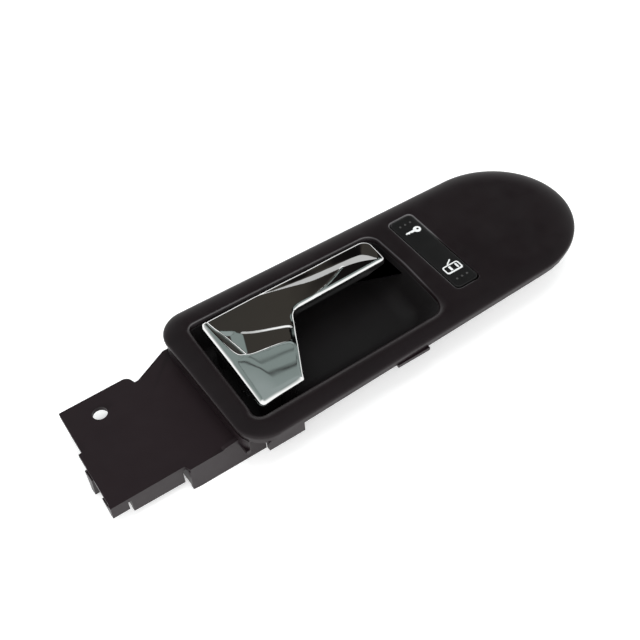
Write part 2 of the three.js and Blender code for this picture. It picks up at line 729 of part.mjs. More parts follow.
const pinHalf = barrelHalf + lugGap + lugThick + 0.3;
const pinFar = pinHalf + 3.2;
const pinGeometry = new THREE.CylinderGeometry(pinRadius, pinRadius, pinHalf + pinFar, 20);
const pivotPin = mesh('pivot_pin', steel(), pinGeometry);
pivotPin.position.set(hinge.x, (pinFar - pinHalf) / 2, hinge.z);
unit.add(pivotPin);
[-1, 1].forEach((side, i) => {
  unit.add(mesh(`pivot_bush_${i + 1}`, naturalPlastic(), bush(...lugSpan(side))));
});
unit.add(mesh('torsion_spring', steel(), torsionSpring()));
const stopHeight = leverSkin - gap - bumper.seat - gap;
const stop = mesh('lever_bumper', rubber(), new THREE.CylinderGeometry(2.1, bumper.radius, stopHeight, 16));
stop.rotation.x = Math.PI / 2;
stop.position.set(bumper.x, bumper.y, bumper.seat + gap + stopHeight / 2);
unit.add(stop);

unit.add(mesh('rocker_button', plateBlack(), rockerButton()));
const rockerPinLength = 2 * (housingHalfWidth - 1.2);
const rockerPin = mesh('rocker_pin', steel(),
  new THREE.CylinderGeometry(rockerPinRadius, rockerPinRadius, rockerPinLength, 16));
rockerPin.rotation.z = Math.PI / 2;
rockerPin.position.set(rocker.x, rocker.y, rockerPinLevel);
unit.add(rockerPin);
unit.add(mesh('switch_housing', carrierBlack(), switchHousing()));
unit.add(mesh('switch_cover', carrierBlack(), switchCover()));
unit.add(mesh('circuit_board', boardGreen(), circuitBoard()));
['door', 'key'].forEach((name, i) => {
  const side = 2 * i - 1;
  const plungerY = rocker.y + side * plungerArm;
  const button = mesh(`plunger_${name}`, naturalPlastic(), plunger());
  button.position.set(rocker.x, plungerY, plungerTop);
  const spring = mesh(`plunger_spring_${name}`, steel(), coilSpring(1.1));
  spring.position.set(rocker.x, plungerY, boardTop + 0.05);
  const light = mesh(`lamp_${name}`, lampWhite(), lamp());
  light.position.set(rocker.x, rocker.y + side * lampArm, boardTop + gap / 3);
  unit.add(button, spring, light);
});
[0, 1, 2, 3].forEach((i) => {
  const blade = mesh(`terminal_${i + 1}`, brass(), new THREE.BoxGeometry(0.8, 0.8, terminalLength));
  blade.position.set(terminalX(i), terminalY, boardTop + 0.2 - terminalLength / 2);
  unit.add(blade);
});
switchEarPlaces.forEach(([x, y], i) => {
  const { head, headThick, shank } = switchScrew;
  const screw = mesh(`switch_screw_${i + 1}`, zincSteel(), panScrew(head, headThick, shank, 4.4));
  screw.position.set(x, y, housingTop - 2.2 - gap);
  unit.add(screw);
});

// The origin is the middle of the base of the unit's box.
const unitLeft = -144;
const unitRight = endStart + endReach;
unit.position.set(-(unitLeft + unitRight) / 2, 0, -rest);

export default unit;
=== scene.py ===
"""Interior release handle of a car door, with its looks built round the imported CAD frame.

Shapes are worked out in the plate's own frame, in millimetres: x = 0, y = 0 at the middle of the trim
plate, z = 0 at its rim, +X to the round end and +Z out of the face. row() turns them into the row frame.
"""

import math

import bmesh
import bpy
import numpy as np
from mathutils import Matrix, Vector
from mathutils.geometry import delaunay_2d_cdt


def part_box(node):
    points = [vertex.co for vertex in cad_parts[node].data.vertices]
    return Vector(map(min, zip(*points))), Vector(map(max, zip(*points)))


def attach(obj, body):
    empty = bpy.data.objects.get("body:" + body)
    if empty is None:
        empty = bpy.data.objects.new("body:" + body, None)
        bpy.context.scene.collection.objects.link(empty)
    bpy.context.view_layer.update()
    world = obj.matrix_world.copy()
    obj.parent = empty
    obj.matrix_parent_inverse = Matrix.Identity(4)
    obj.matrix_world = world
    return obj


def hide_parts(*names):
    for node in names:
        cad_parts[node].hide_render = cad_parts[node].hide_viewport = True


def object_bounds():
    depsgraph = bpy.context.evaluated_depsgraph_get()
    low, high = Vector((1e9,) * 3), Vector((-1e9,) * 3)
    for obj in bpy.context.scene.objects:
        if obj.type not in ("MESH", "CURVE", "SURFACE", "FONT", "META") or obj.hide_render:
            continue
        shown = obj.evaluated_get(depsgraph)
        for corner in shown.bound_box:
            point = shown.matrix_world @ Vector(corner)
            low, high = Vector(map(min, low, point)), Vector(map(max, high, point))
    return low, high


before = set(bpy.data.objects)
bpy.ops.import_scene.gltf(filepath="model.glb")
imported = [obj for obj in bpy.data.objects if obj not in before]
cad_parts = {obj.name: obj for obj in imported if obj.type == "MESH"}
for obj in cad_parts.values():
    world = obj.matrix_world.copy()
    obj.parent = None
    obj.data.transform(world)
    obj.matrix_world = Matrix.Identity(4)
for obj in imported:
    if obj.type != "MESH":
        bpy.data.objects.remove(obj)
cad_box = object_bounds()

MM = 0.001
PLATE_RISE = 1.9                 # of the plate's face above its rim

plate_low, plate_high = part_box("face_plate")
ORIGIN = Vector(((plate_low.x + plate_high.x) / 2, 0.0, plate_high.z - PLATE_RISE * MM))


def row(point):
    """A point of the plate's frame in the row frame."""
    return ORIGIN + Vector(point) * MM


def node_box(node):
    """Lowest and highest corner of a CAD node, in the plate's frame."""
    low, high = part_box(node)
    return (low - ORIGIN) / MM, (high - ORIGIN) / MM


def seat(node):
    """Middle of a CAD node's underside in the plate's frame, half its width and its height."""
    low, high = node_box(node)
    return ((low.x + high.x) / 2, (low.y + high.y) / 2, low.z), (high.x - low.x) / 2, high.z - low.z


# ---------------------------------------------------------------- camera

AZIMUTH, ELEVATION, ROLL = math.radians(-30.89), math.radians(47.98), math.radians(-4.93)
AIM = (-30.5, 6.65, -8.96)
DISTANCE = 475.5
LENS, SENSOR = 64.7, 36.0


def make_camera():
    back = Vector((
        math.sin(AZIMUTH) * math.cos(ELEVATION),
        -math.cos(AZIMUTH) * math.cos(ELEVATION),
        math.sin(ELEVATION),
    ))
    level = Vector((math.cos(AZIMUTH), math.sin(AZIMUTH), 0.0))
    upward = back.cross(level)
    right = level * math.cos(ROLL) + upward * math.sin(ROLL)
    up = upward * math.cos(ROLL) - level * math.sin(ROLL)
    data = bpy.data.cameras.new("camera")
    data.lens = LENS
    data.sensor_width = SENSOR
    data.clip_start = 0.01
    data.clip_end = 20.0
    camera = bpy.data.objects.new("camera", data)
    camera.matrix_world = Matrix.Translation(row(AIM) + back * DISTANCE * MM) @ Matrix((
        (right.x, up.x, back.x, 0.0),
        (right.y, up.y, back.y, 0.0),
        (right.z, up.z, back.z, 0.0),
        (0.0, 0.0, 0.0, 1.0),
    ))
    bpy.context.scene.collection.objects.link(camera)
    bpy.context.scene.camera = camera


make_camera()


# ---------------------------------------------------------------- outlines

STRAIGHT = math.pi / 2 - 0.001   # half of a corner's angle from which on it needs no arc


def corner_arc(last, corner, ahead, radius):
    """How far the arc that rounds a corner turns, and a rule from an angle along it to a point."""
    back = (last - corner).normalized()
    on = (ahead - corner).normalized()
    half = math.acos(max(-1.0, min(1.0, back.dot(on)))) / 2
    if half > STRAIGHT:
        return 0.0, lambda angle: corner.copy()
    centre = corner + (back + on).normalized() * (radius / math.sin(half))
    start = corner + back * (radius / math.tan(half)) - centre
    end = corner + on * (radius / math.tan(half)) - centre

    def place(angle):
        spin = Matrix(((math.cos(angle), -math.sin(angle)), (math.sin(angle), math.cos(angle))))
        return centre + spin @ start

    return math.atan2(start.x * end.y - start.y * end.x, start.dot(end)), place


def rounded(corners, step=math.pi / 40):
    """Corners (x, y, radius), anticlockwise, made into points, each radius as an arc."""
    points = []
    places = [Vector(corner[:2]) for corner in corners]
    for i, (_, _, radius) in enumerate(corners):
        if radius <= 0:
            points.append(places[i])
            continue
        turn, place = corner_arc(places[i - 1], places[i], places[(i + 1) % len(corners)], radius)
        steps = max(2, math.ceil(abs(turn) / step))
        points += [place(turn * k / steps) for k in range(steps + 1)]
    return points


def grown(corners, by):
    """Anticlockwise corners moved outwards by a distance, or inwards by a negative one."""
    moved = []
    count = len(corners)
    for i, (x, y, radius) in enumerate(corners):
        corner = Vector((x, y))
        arriving = (corner - Vector(corners[i - 1][:2])).normalized()
        leaving = (Vector(corners[(i + 1) % count][:2]) - corner).normalized()
        a = Vector((arriving.y, -arriving.x))
        b = Vector((leaving.y, -leaving.x))
        place = corner + (a + b) * (by / (1 + a.dot(b)))
        turn = math.copysign(1, arriving.x * leaving.y - arriving.y * leaving.x)
        moved.append((place.x, place.y, max(radius + turn * by, 0.2) if radius > 0 else 0))
    return moved


def rectangle(x0, x1, y0, y1, radius):
    return [(x0, y0, radius), (x1, y0, radius), (x1, y1, radius), (x0, y1, radius)]


def ellipse_arc(cx, cy, rx, ry, start, end, steps):
    angles = np.linspace(start, end, steps + 1)
    return [Vector((cx + rx * math.cos(a), cy + ry * math.sin(a))) for a in angles]


def resampled(points, spacing):
    """A closed outline with its long sides cut into steps no longer than the spacing."""
    out = []
    for a, b in zip(points, points[1:] + points[:1]):
        steps = max(1, math.ceil((b - a).length / spacing))
        out += [a.lerp(b, k / steps) for k in range(steps)]
    return [p for i, p in enumerate(out) if (p - out[i - 1]).length > 1e-4]


def inset_points(points, by):
    """An anticlockwise outline moved inwards along its normals; by is one distance or one for each point."""
    co = np.array([(p[0], p[1]) for p in points])
    before, after = np.roll(co, 1, 0), np.roll(co, -1, 0)
    a = co - before
    b = after - co
    a /= np.linalg.norm(a, axis=1)[:, None]
    b /= np.linalg.norm(b, axis=1)[:, None]
    normal = np.stack([-(a + b)[:, 1], (a + b)[:, 0]], 1)
    normal /= np.linalg.norm(normal, axis=1)[:, None]
    return co + normal * np.broadcast_to(by, len(co))[:, None]


def distance_to(points, line, closed=True):
    """Distance of each point to a polyline, and the place along it as a vertex number with a fraction."""
    ends = np.roll(line, -1, 0) if closed else line[1:]
    starts = line if closed else line[:-1]
    best = np.full(len(points), 1e9)
    place = np.zeros(len(points))
    for i, (a, b) in enumerate(zip(starts, ends)):
        d = b - a
        t = np.clip(((points - a) @ d) / max(d @ d, 1e-12), 0, 1)
        gap = np.hypot(*(points - a - t[:, None] * d).T)
        closer = gap < best
        best = np.where(closer, gap, best)
        place = np.where(closer, i + t, place)
    return best, place


def inside(points, outline):
    """True for each point inside a closed outline."""
    x, y = points[:, 0], points[:, 1]
    hit = np.zeros(len(points), bool)
    for a, b in zip(outline, np.roll(outline, -1, 0)):
        crosses = (a[1] > y) != (b[1] > y)
        if a[1] != b[1]:
            hit ^= crosses & (x < (b[0] - a[0]) * (y - a[1]) / (b[1] - a[1]) + a[0])
    return hit


def grid(x0, x1, y0, y1, spacing):
    """Points of a triangular grid."""
    rows = np.arange(y0, y1, spacing * math.sqrt(3) / 2)
    columns = np.arange(x0, x1, spacing)
    shift = (np.arange(len(rows)) % 2) * spacing / 2
    x = (columns[None, :] + shift[:, None]).ravel()
    return np.stack([x, np.repeat(rows, len(columns))], 1)


# ---------------------------------------------------------------- meshes

class Shell:
    """Vertices and faces of one piece, in the plate's frame."""

    def __init__(self):
        self.verts = []
        self.faces = []

    def ring(self, points, z=None):
        """Adds a loop of points, flat at z or each with a z of its own, and returns its vertex numbers."""
        first = len(self.verts)
        for p in points:
            self.verts.append((p[0], p[1], p[2] if z is None else z))
        return list(range(first, len(self.verts)))

    def bridge(self, low, high):
        """Joins two closed rings of the same length."""
        for i in range(len(low)):
            j = (i + 1) % len(low)
            self.faces.append((low[i], low[j], high[j], high[i]))

    def rings(self, loops):
        for low, high in zip(loops, loops[1:]):
            self.bridge(low, high)
        return loops

    def fan(self, ring, point):
        """Closes a ring with a point."""
        self.verts.append(tuple(point))
        tip = len(self.verts) - 1
        for i in range(len(ring)):
            self.faces.append((ring[i], ring[(i + 1) % len(ring)], tip))

    def fill(self, loops, points=(), height=None):
        """Fills the area between closed rings, and gives the points inside it a height."""
        ids = [i for loop in loops for i in loop]
        flat = [Vector(self.verts[i][:2]) for i in ids] + [Vector(p) for p in points]
        edges = []
        start = 0
        for loop in loops:
            edges += [(start + i, start + (i + 1) % len(loop)) for i in range(len(loop))]
            start += len(loop)
        co, _, faces, sources, _, _ = delaunay_2d_cdt(flat, edges, [], 0, 1e-5)
        centres = np.array([[sum(co[i][k] for i in face) / 3 for k in (0, 1)] for face in faces])
        within = np.zeros(len(faces), bool)
        for loop in loops:
            within ^= inside(centres, np.array([self.verts[i][:2] for i in loop]))
        faces = [face for face, hit in zip(faces, within) if hit]
        number = {}
        fresh = [i for i, source in enumerate(sources) if not any(s < len(ids) for s in source)]
        if fresh:
            place = np.array([co[i] for i in fresh])
            z = height(place)
            for i, (x, y), level in zip(fresh, place, z):
                number[i] = len(self.verts)
                self.verts.append((x, y, level))
        for i, source in enumerate(sources):
            known = [s for s in source if s < len(ids)]
            if known:
                number[i] = ids[known[0]]
        self.faces += [tuple(number[i] for i in face) for face in faces]

    def add(self, other):
        first = len(self.verts)
        self.verts += other.verts
        self.faces += [tuple(first + i for i in face) for face in other.faces]
        return self

    def moved(self, x=0.0, y=0.0, z=0.0):
        self.verts = [(a + x, b + y, c + z) for a, b, c in self.verts]
        return self

    def turned(self, rule):
        """Maps each vertex by a rule from (x, y, z) to (x, y, z)."""
        self.verts = [rule(*v) for v in self.verts]
        return self


def make(name, shell, material, body, nodes=(), sharp=32, bevel=0.0, segments=2, painted_highlight_share=None):
    """The piece of a shell: in the row frame, riding on its body, standing for its CAD nodes.

    The last argument, when given, tells each point from 0 to 1 how strongly a painted highlight is painted
    on its edge: a pale line that stands in for the light the edge catches.
    """
    mesh = bpy.data.meshes.new(name)
    mesh.from_pydata([row(v) for v in shell.verts], [], shell.faces)
    mesh.validate()
    work = bmesh.new()
    work.from_mesh(mesh)
    loose = [v for v in work.verts if not v.link_faces]
    bmesh.ops.delete(work, geom=loose, context="VERTS")
    bmesh.ops.recalc_face_normals(work, faces=work.faces)
    work.to_mesh(mesh)
    work.free()
    if painted_highlight_share:
        places = np.array([(v.co - ORIGIN) / MM for v in mesh.vertices])
        # The painted highlight share, kept as a point attribute that the plastic materials read.
        values = mesh.attributes.new("painted_highlight", "FLOAT", "POINT")
        values.data.foreach_set("value", painted_highlight_share(places))
    return finished(name, mesh, material, body, nodes, sharp, bevel, segments)


def finished(name, mesh, material, body, nodes, sharp, bevel, segments):
    mesh.materials.clear()
    mesh.materials.append(material)
    mesh.shade_smooth()
    mesh.set_sharp_from_angle(angle=math.radians(sharp))
    piece = bpy.data.objects.new(name, mesh)
    bpy.context.scene.collection.objects.link(piece)
    if bevel:
        edge = piece.modifiers.new("edge", "BEVEL")
        edge.width = bevel * MM
        edge.segments = segments
        edge.limit_method = "ANGLE"
        edge.angle_limit = math.radians(20)
        edge.miter_outer = "MITER_ARC"
        flat = piece.modifiers.new("flat", "WEIGHTED_NORMAL")
        flat.weight = 100
        flat.keep_sharp = True
    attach(piece, body)
    if nodes:
        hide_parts(*nodes)
    return piece


def refined(node, material, body, bevel=0.3, segments=2):
    """A CAD node with its flat faces joined up and its edges rounded as a moulding's are."""
    work = bmesh.new()
    work.from_mesh(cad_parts[node].data)
    bmesh.ops.remove_doubles(work, verts=work.verts, dist=2e-6)
    bmesh.ops.dissolve_limit(work, angle_limit=math.radians(1), verts=work.verts, edges=work.edges)
    mesh = bpy.data.meshes.new(f"{node}_moulded")
    work.to_mesh(mesh)
    work.free()
    return finished(f"{node}_moulded", mesh, material, body, (node,), 20, bevel, segments)


def lathe(profile, sides=48, cap_start=True, cap_end=True):
    """Rings round Z from a profile of (radius, z)."""
    shell = Shell()
    turn = np.linspace(0, 2 * math.pi, sides, endpoint=False)
    loops = []
    for radius, z in profile:
        loops.append(shell.ring([(radius * math.cos(a), radius * math.sin(a)) for a in turn], z))
    shell.rings(loops)
    if cap_start:
        shell.fan(loops[0], (0, 0, profile[0][1]))
    if cap_end:
        shell.fan(loops[-1], (0, 0, profile[-1][1]))
    return shell


def lathe_tube(profile, sides=48):
    """A closed profile of (radius, z) turned round Z."""
    shell = lathe(profile, sides, False, False)
    count = len(profile)
    first = list(range(sides))
    last = list(range((count - 1) * sides, count * sides))
    shell.bridge(last, first)
    return shell


def tube(path, radius, sides=10):
    """A round wire along a path, with rounded ends."""
    points = [Vector(p) for p in path]
    shell = Shell()
    tangents = []
    for i in range(len(points)):
        tangents.append((points[min(i + 1, len(points) - 1)] - points[max(i - 1, 0)]).normalized())
    across = tangents[0].orthogonal().normalized()
    loops = []

    def section(centre, tangent, side, size):
        other = tangent.cross(side)
        angles = [2 * math.pi * k / sides for k in range(sides)]
        return [centre + (side * math.cos(a) + other * math.sin(a)) * size for a in angles]

    tail = points[0] - tangents[0] * radius * 0.5
    loops.append(shell.ring(section(tail, tangents[0], across, radius * 0.6)))
    for point, tangent in zip(points, tangents):
        across = (across - tangent * across.dot(tangent)).normalized()
        loops.append(shell.ring(section(point, tangent, across, radius)))
    tip = points[-1] + tangents[-1] * radius * 0.5
    loops.append(shell.ring(section(tip, tangents[-1], across, radius * 0.6)))
    shell.rings(loops)
    shell.fan(loops[0], points[0] - tangents[0] * radius * 0.7)
    shell.fan(loops[-1], points[-1] + tangents[-1] * radius * 0.7)
    return shell


def prism(loops, low, high):
    """An upright prism from an outline and its holes."""
    shell = Shell()
    bottom = [shell.ring(loop, low) for loop in loops]
    top = [shell.ring(loop, high) for loop in loops]
    for a, b in zip(bottom, top):
        shell.bridge(a, b)
    shell.fill(bottom)
    shell.fill(top)
    return shell


def circle(x, y, radius, sides=32):
    turns = [2 * math.pi * k / sides for k in range(sides)]
    return [Vector((x + radius * math.cos(a), y + radius * math.sin(a))) for a in turns]


def post(shell, x, y, profile, tip):
    """A hollow post of (radius, z), from its root over its mouth to a bore closed at a tip.

    Returns the root's ring, which the face that it stands on needs.
    """
    loops = shell.rings([shell.ring(circle(x, y, radius), z) for radius, z in profile])
    shell.fan(loops[-1], (x, y, tip))
    return loops[0]


# ---------------------------------------------------------------- materials

class Tree:
    """Short names for what every node tree needs."""

    def __init__(self, tree):
        self.tree = tree

    def node(self, kind, **settings):
        made = self.tree.nodes.new(kind)
        for key, value in settings.items():
            setattr(made, key, value)
        return made

    def link(self, a, b):
        self.tree.links.new(a, b)

    def ramp(self, value, stops):
        """A value turned into a colour or a number by stops of (place, grey or colour)."""
        made = self.node("ShaderNodeValToRGB")
        made.color_ramp.elements[0].position = stops[0][0]
        made.color_ramp.elements[1].position = stops[-1][0]
        for place, _ in stops[1:-1]:
            made.color_ramp.elements.new(place)
        for element, (_, tone) in zip(made.color_ramp.elements, stops):
            colour = (tone, tone, tone) if isinstance(tone, (int, float)) else tone
            element.color = (*colour, 1.0)
        self.link(value, made.inputs[0])
        return made.outputs[0]

    def mix(self, share, a, b):
        made = self.node("ShaderNodeMix", data_type="RGBA")
        self.link(share, made.inputs["Factor"])
        for socket, value in ((made.inputs["A"], a), (made.inputs["B"], b)):
            if isinstance(value, tuple):
                socket.default_value = (*value, 1.0)
            else:
                self.link(value, socket)
        return made.outputs["Result"]


class Nodes(Tree):
    """Short names for the nodes of one material."""

    def __init__(self, name):
        self.material = bpy.data.materials.new(name)
        self.material.use_nodes = True
        super().__init__(self.material.node_tree)
        self.shader = self.tree.nodes["Principled BSDF"]
        self.place = self.tree.nodes.new("ShaderNodeTexCoord").outputs["Object"]

    def noise(self, per_mm, detail=2.0, rough=0.5, stretch=(1, 1, 1)):
        """Noise with so many waves to a millimetre."""
        made = self.node("ShaderNodeTexNoise")
        made.inputs["Scale"].default_value = per_mm / MM
        made.inputs["Detail"].default_value = detail
        made.inputs["Roughness"].default_value = rough
        mapping = self.node("ShaderNodeMapping")
        mapping.inputs["Scale"].default_value = stretch
        self.link(self.place, mapping.inputs["Vector"])
        self.link(mapping.outputs[0], made.inputs["Vector"])
        return made.outputs["Fac"]

    def span(self, value, low, high, to_low, to_high):
        made = self.node("ShaderNodeMapRange")
        for name, number in (("From Min", low), ("From Max", high), ("To Min", to_low), ("To Max", to_high)):
            made.inputs[name].default_value = number
        self.link(value, made.inputs["Value"])
        return made.outputs[0]

    def bump(self, height, depth_mm, before=None):
        made = self.node("ShaderNodeBump")
        made.inputs["Strength"].default_value = 1.0
        made.inputs["Distance"].default_value = depth_mm * MM
        self.link(height, made.inputs["Height"])
        if before is not None:
            self.link(before, made.inputs["Normal"])
        return made.outputs["Normal"]

    def edges(self):
        """Near 1 on the sharp outer edges, from how sharply the surface turns; plastic() paints these edges
        paler, partly as wear and partly as a painted highlight.
        """
        return self.ramp(self.node("ShaderNodeNewGeometry").outputs["Pointiness"], [(0.5, 0.0), (0.56, 1.0)])

    def set(self, **sockets):
        for name, value in sockets.items():
            socket = self.shader.inputs[name.replace("_", " ")]
            if isinstance(value, bpy.types.NodeSocket):
                self.link(value, socket)
            elif isinstance(value, tuple):
                socket.default_value = (*value, 1.0)
            else:
                socket.default_value = value
        return self.material


def plastic(name, dark, light, roughness, grain_mm, depth_mm, edge_wear_and_sheen, specular=0.35):
    """Moulded plastic: two tones in slow clouds, fine grain, edges painted paler as wear and as a painted
    highlight, and a painted highlight line wherever a piece asks for one.
    """
    n = Nodes(name)
    clouds = n.ramp(n.noise(0.03, 4.0, 0.6), [(0.35, 0.0), (0.65, 1.0)])
    tone = n.mix(clouds, dark, light)
    # Edges painted paler: partly wear, partly a painted highlight standing in for the light caught on
    # rounded edges.
    worn_and_sheen = n.mix(n.span(n.edges(), 0, 1, 0, edge_wear_and_sheen), tone, tuple(min(1.0, c * 3.2) for c in light))
    painted_highlight = n.node("ShaderNodeAttribute", attribute_name="painted_highlight").outputs["Fac"]
    # Painted highlight: pale grey mixed in where a piece's painted highlight share is high.
    colour = n.mix(painted_highlight, worn_and_sheen, (0.20, 0.195, 0.20))
    grain = n.noise(1 / grain_mm, 3.0, 0.55)
    gloss = n.span(n.noise(0.15, 3.0), 0.3, 0.7, roughness - 0.04, roughness + 0.04)
    return n.set(
        Base_Color=colour, Roughness=gloss, Specular_IOR_Level=specular,
        Normal=n.bump(grain, depth_mm, n.bump(n.noise(0.05, 2.0), 0.02)),
    )


def chrome():
    """Bright plating: nearly a mirror, with a slow polish wave and a trace of haze."""
    n = Nodes("chrome")
    haze = n.span(n.noise(0.12, 5.0, 0.65), 0.35, 0.75, 0.018, 0.06)
    tone = n.mix(n.noise(0.08, 3.0), (0.80, 0.81, 0.80), (0.88, 0.885, 0.88))
    waves = n.bump(n.noise(0.09, 1.0, 0.4, (0.7, 1.6, 1.0)), 0.035)
    return n.set(Base_Color=tone, Metallic=1.0, Roughness=haze, Normal=waves)


def ground_metal(name, dark, light, roughness, stretch):
    """Metal with fine drawn or turned lines."""
    n = Nodes(name)
    lines = n.noise(1.2, 3.0, 0.6, stretch)
    return n.set(
        Base_Color=n.mix(n.noise(0.3, 4.0), dark, light), Metallic=1.0,
        Roughness=n.span(lines, 0.3, 0.7, roughness - 0.08, roughness + 0.1),
        Normal=n.bump(lines, 0.006),
    )


def board():
    """Solder mask with copper tracks below it."""
    n = Nodes("board_green")
    tracks = n.node("ShaderNodeTexBrick")
    tracks.inputs["Scale"].default_value = 0.22 / MM
    tracks.inputs["Mortar Size"].default_value = 0.06
    tracks.inputs["Color1"].default_value = (0, 0, 0, 1)
    tracks.inputs["Color2"].default_value = (0, 0, 0, 1)
    tracks.inputs["Mortar"].default_value = (1, 1, 1, 1)
    n.link(n.place, tracks.inputs["Vector"])
    tone = n.mix(tracks.outputs["Color"], (0.012, 0.085, 0.035), (0.03, 0.17, 0.06))
    return n.set(
        Base_Color=tone, Roughness=n.span(n.noise(0.8), 0.3, 0.7, 0.25, 0.4),
        Coat_Weight=0.3, Coat_Roughness=0.15, Normal=n.bump(tracks.outputs["Fac"], 0.03),
    )


def print_white():
    """Printed ink, a little uneven."""
    n = Nodes("print_white")
    return n.set(
        Base_Color=n.mix(n.noise(1.5, 4.0), (0.62, 0.63, 0.63), (0.86, 0.87, 0.87)),
        Roughness=n.span(n.noise(2.0), 0.3, 0.7, 0.45, 0.6), Specular_IOR_Level=0.4,
        Normal=n.bump(n.noise(4.0), 0.004),
    )


plate_black = plastic(
    "plate_black", (0.0054, 0.0030, 0.0038), (0.0068, 0.0038, 0.0047), 0.36, 0.35, 0.008, 0.2, 0.34,
)
carrier_black = plastic(
    "carrier_black", (0.0069, 0.0038, 0.0049), (0.0087, 0.0050, 0.0062), 0.42, 0.5, 0.010, 0.2, 0.32,
)
bowl_black = plastic(
    "bowl_black", (0.0080, 0.0072, 0.0076), (0.0096, 0.0087, 0.0090), 0.5, 0.35, 0.008, 0.05, 0.3,
)
rocker_black = plastic(
    "rocker_black", (0.0042, 0.0040, 0.0041), (0.0054, 0.0052, 0.0053), 0.40, 0.25, 0.005, 0.3, 0.28,
)
# Painted highlight: the tactile dots get a grey that stands in for the light on their domes.
dot_highlight_grey = plastic("dot_highlight_grey", (0.030, 0.029, 0.029), (0.042, 0.041, 0.041), 0.4, 0.2, 0.004, 0.2, 0.4)
core_black = plastic("core_black", (0.012, 0.012, 0.013), (0.020, 0.020, 0.021), 0.5, 0.4, 0.015, 0.3)
switch_black = plastic("switch_black", (0.010, 0.010, 0.011), (0.016, 0.016, 0.017), 0.48, 0.4, 0.012, 0.3)
natural_plastic = plastic(
    "natural_plastic", (0.62, 0.58, 0.48), (0.72, 0.69, 0.60), 0.42, 0.5, 0.006, 0.1, 0.5,
)
rubber = plastic("rubber", (0.008, 0.008, 0.008), (0.014, 0.014, 0.014), 0.85, 0.3, 0.03, 0.1, 0.25)
lamp_white = plastic("lamp_white", (0.75, 0.73, 0.62), (0.85, 0.83, 0.74), 0.28, 0.6, 0.003, 0.0, 0.5)
chrome_plate = chrome()
steel = ground_metal("steel", (0.42, 0.43, 0.45), (0.56, 0.57, 0.59), 0.28, (1, 1, 8))
zinc = ground_metal("zinc_steel", (0.46, 0.44, 0.36), (0.62, 0.61, 0.55), 0.34, (4, 4, 1))
brass = ground_metal("brass", (0.60, 0.42, 0.16), (0.74, 0.56, 0.26), 0.28, (6, 1, 1))
green_board = board()
ink = print_white()


# ---------------------------------------------------------------- trim plate

PLATE_LEFT, PLATE_LEFT_HALF, PLATE_CORNER = -91.0, 38.0, 12.2
END_START, END_HALF, END_REACH = 55.4, 34.2, 35.6
PLATE_UNDER = -0.8
ROLL_WIDTH = 9.0
PLATE_SCREWS = [(-60, 33.4), (-8, 32.3), (48, 21), (48, -17), (74, 0)]
BOSS_RADIUS, BOSS_BORE, BOSS_UNDER = 2.1, 1.2, -3.4

RECESS = [(-82.1, -27.3, 4), (8.9, -26.2, 7), (10.4, 3, 60), (9.8, 25.9, 6), (-80.3, 28.1, 3)]
CRISP_LIP = (0.8, 0.7)           # width and drop of the recess lip along the far and round-end sides
SOFT_LIP = (4.2, 2.5)            # the same along the near side
ROCKER = (24.7, 1.8)
ROCKER_HALF = (5.7, 23.4)
ROCKER_CORNER = 2.2
SWITCH_GAP = (0.35, 0.6)         # round the rocker, at its sides and at its ends
SWITCH_LIP = (0.6, 0.5)          # width and drop of the rounded edge of its opening


def tongue(spacing):
    quarter = math.pi / 2
    left = PLATE_LEFT + PLATE_CORNER
    side = PLATE_LEFT_HALF - PLATE_CORNER
    points = ellipse_arc(left, -side, PLATE_CORNER, PLATE_CORNER, 2 * quarter, 3 * quarter, 24)
    points += ellipse_arc(END_START, 0, END_REACH, END_HALF, -quarter, quarter, 90)
    points += ellipse_arc(left, side, PLATE_CORNER, PLATE_CORNER, quarter, 2 * quarter, 24)
    return resampled(points, spacing)


def quarter_drop(distance, width, height):
    """How far a quarter-round edge lies below the face, at a distance inside its outline."""
    t = np.clip(1 - distance / width, 0, 1)
    return height * (1 - np.sqrt(1 - t * t))


def smooth(value, low, high):
    t = np.clip((value - low) / (high - low), 0, 1)
    return t * t * (3 - 2 * t)


def softness(points):
    """1 on the recess's near side, where its edge is a wide roll, and 0 where it is a crisp lip."""
    x, y = points[:, 0], points[:, 1]
    near = smooth(-y, 17, 26)
    left = 0.35 * smooth(-x, 76, 81)
    return np.clip(np.maximum(near, left), 0, 1)


def rocker_outline(side, end, step=math.pi / 24):
    x, y = ROCKER
    half_x, half_y = ROCKER_HALF[0] + side, ROCKER_HALF[1] + end
    corners = rectangle(x - half_x, x + half_x, y - half_y, y + half_y, ROCKER_CORNER)
    return resampled(rounded(corners, step), 0.9)


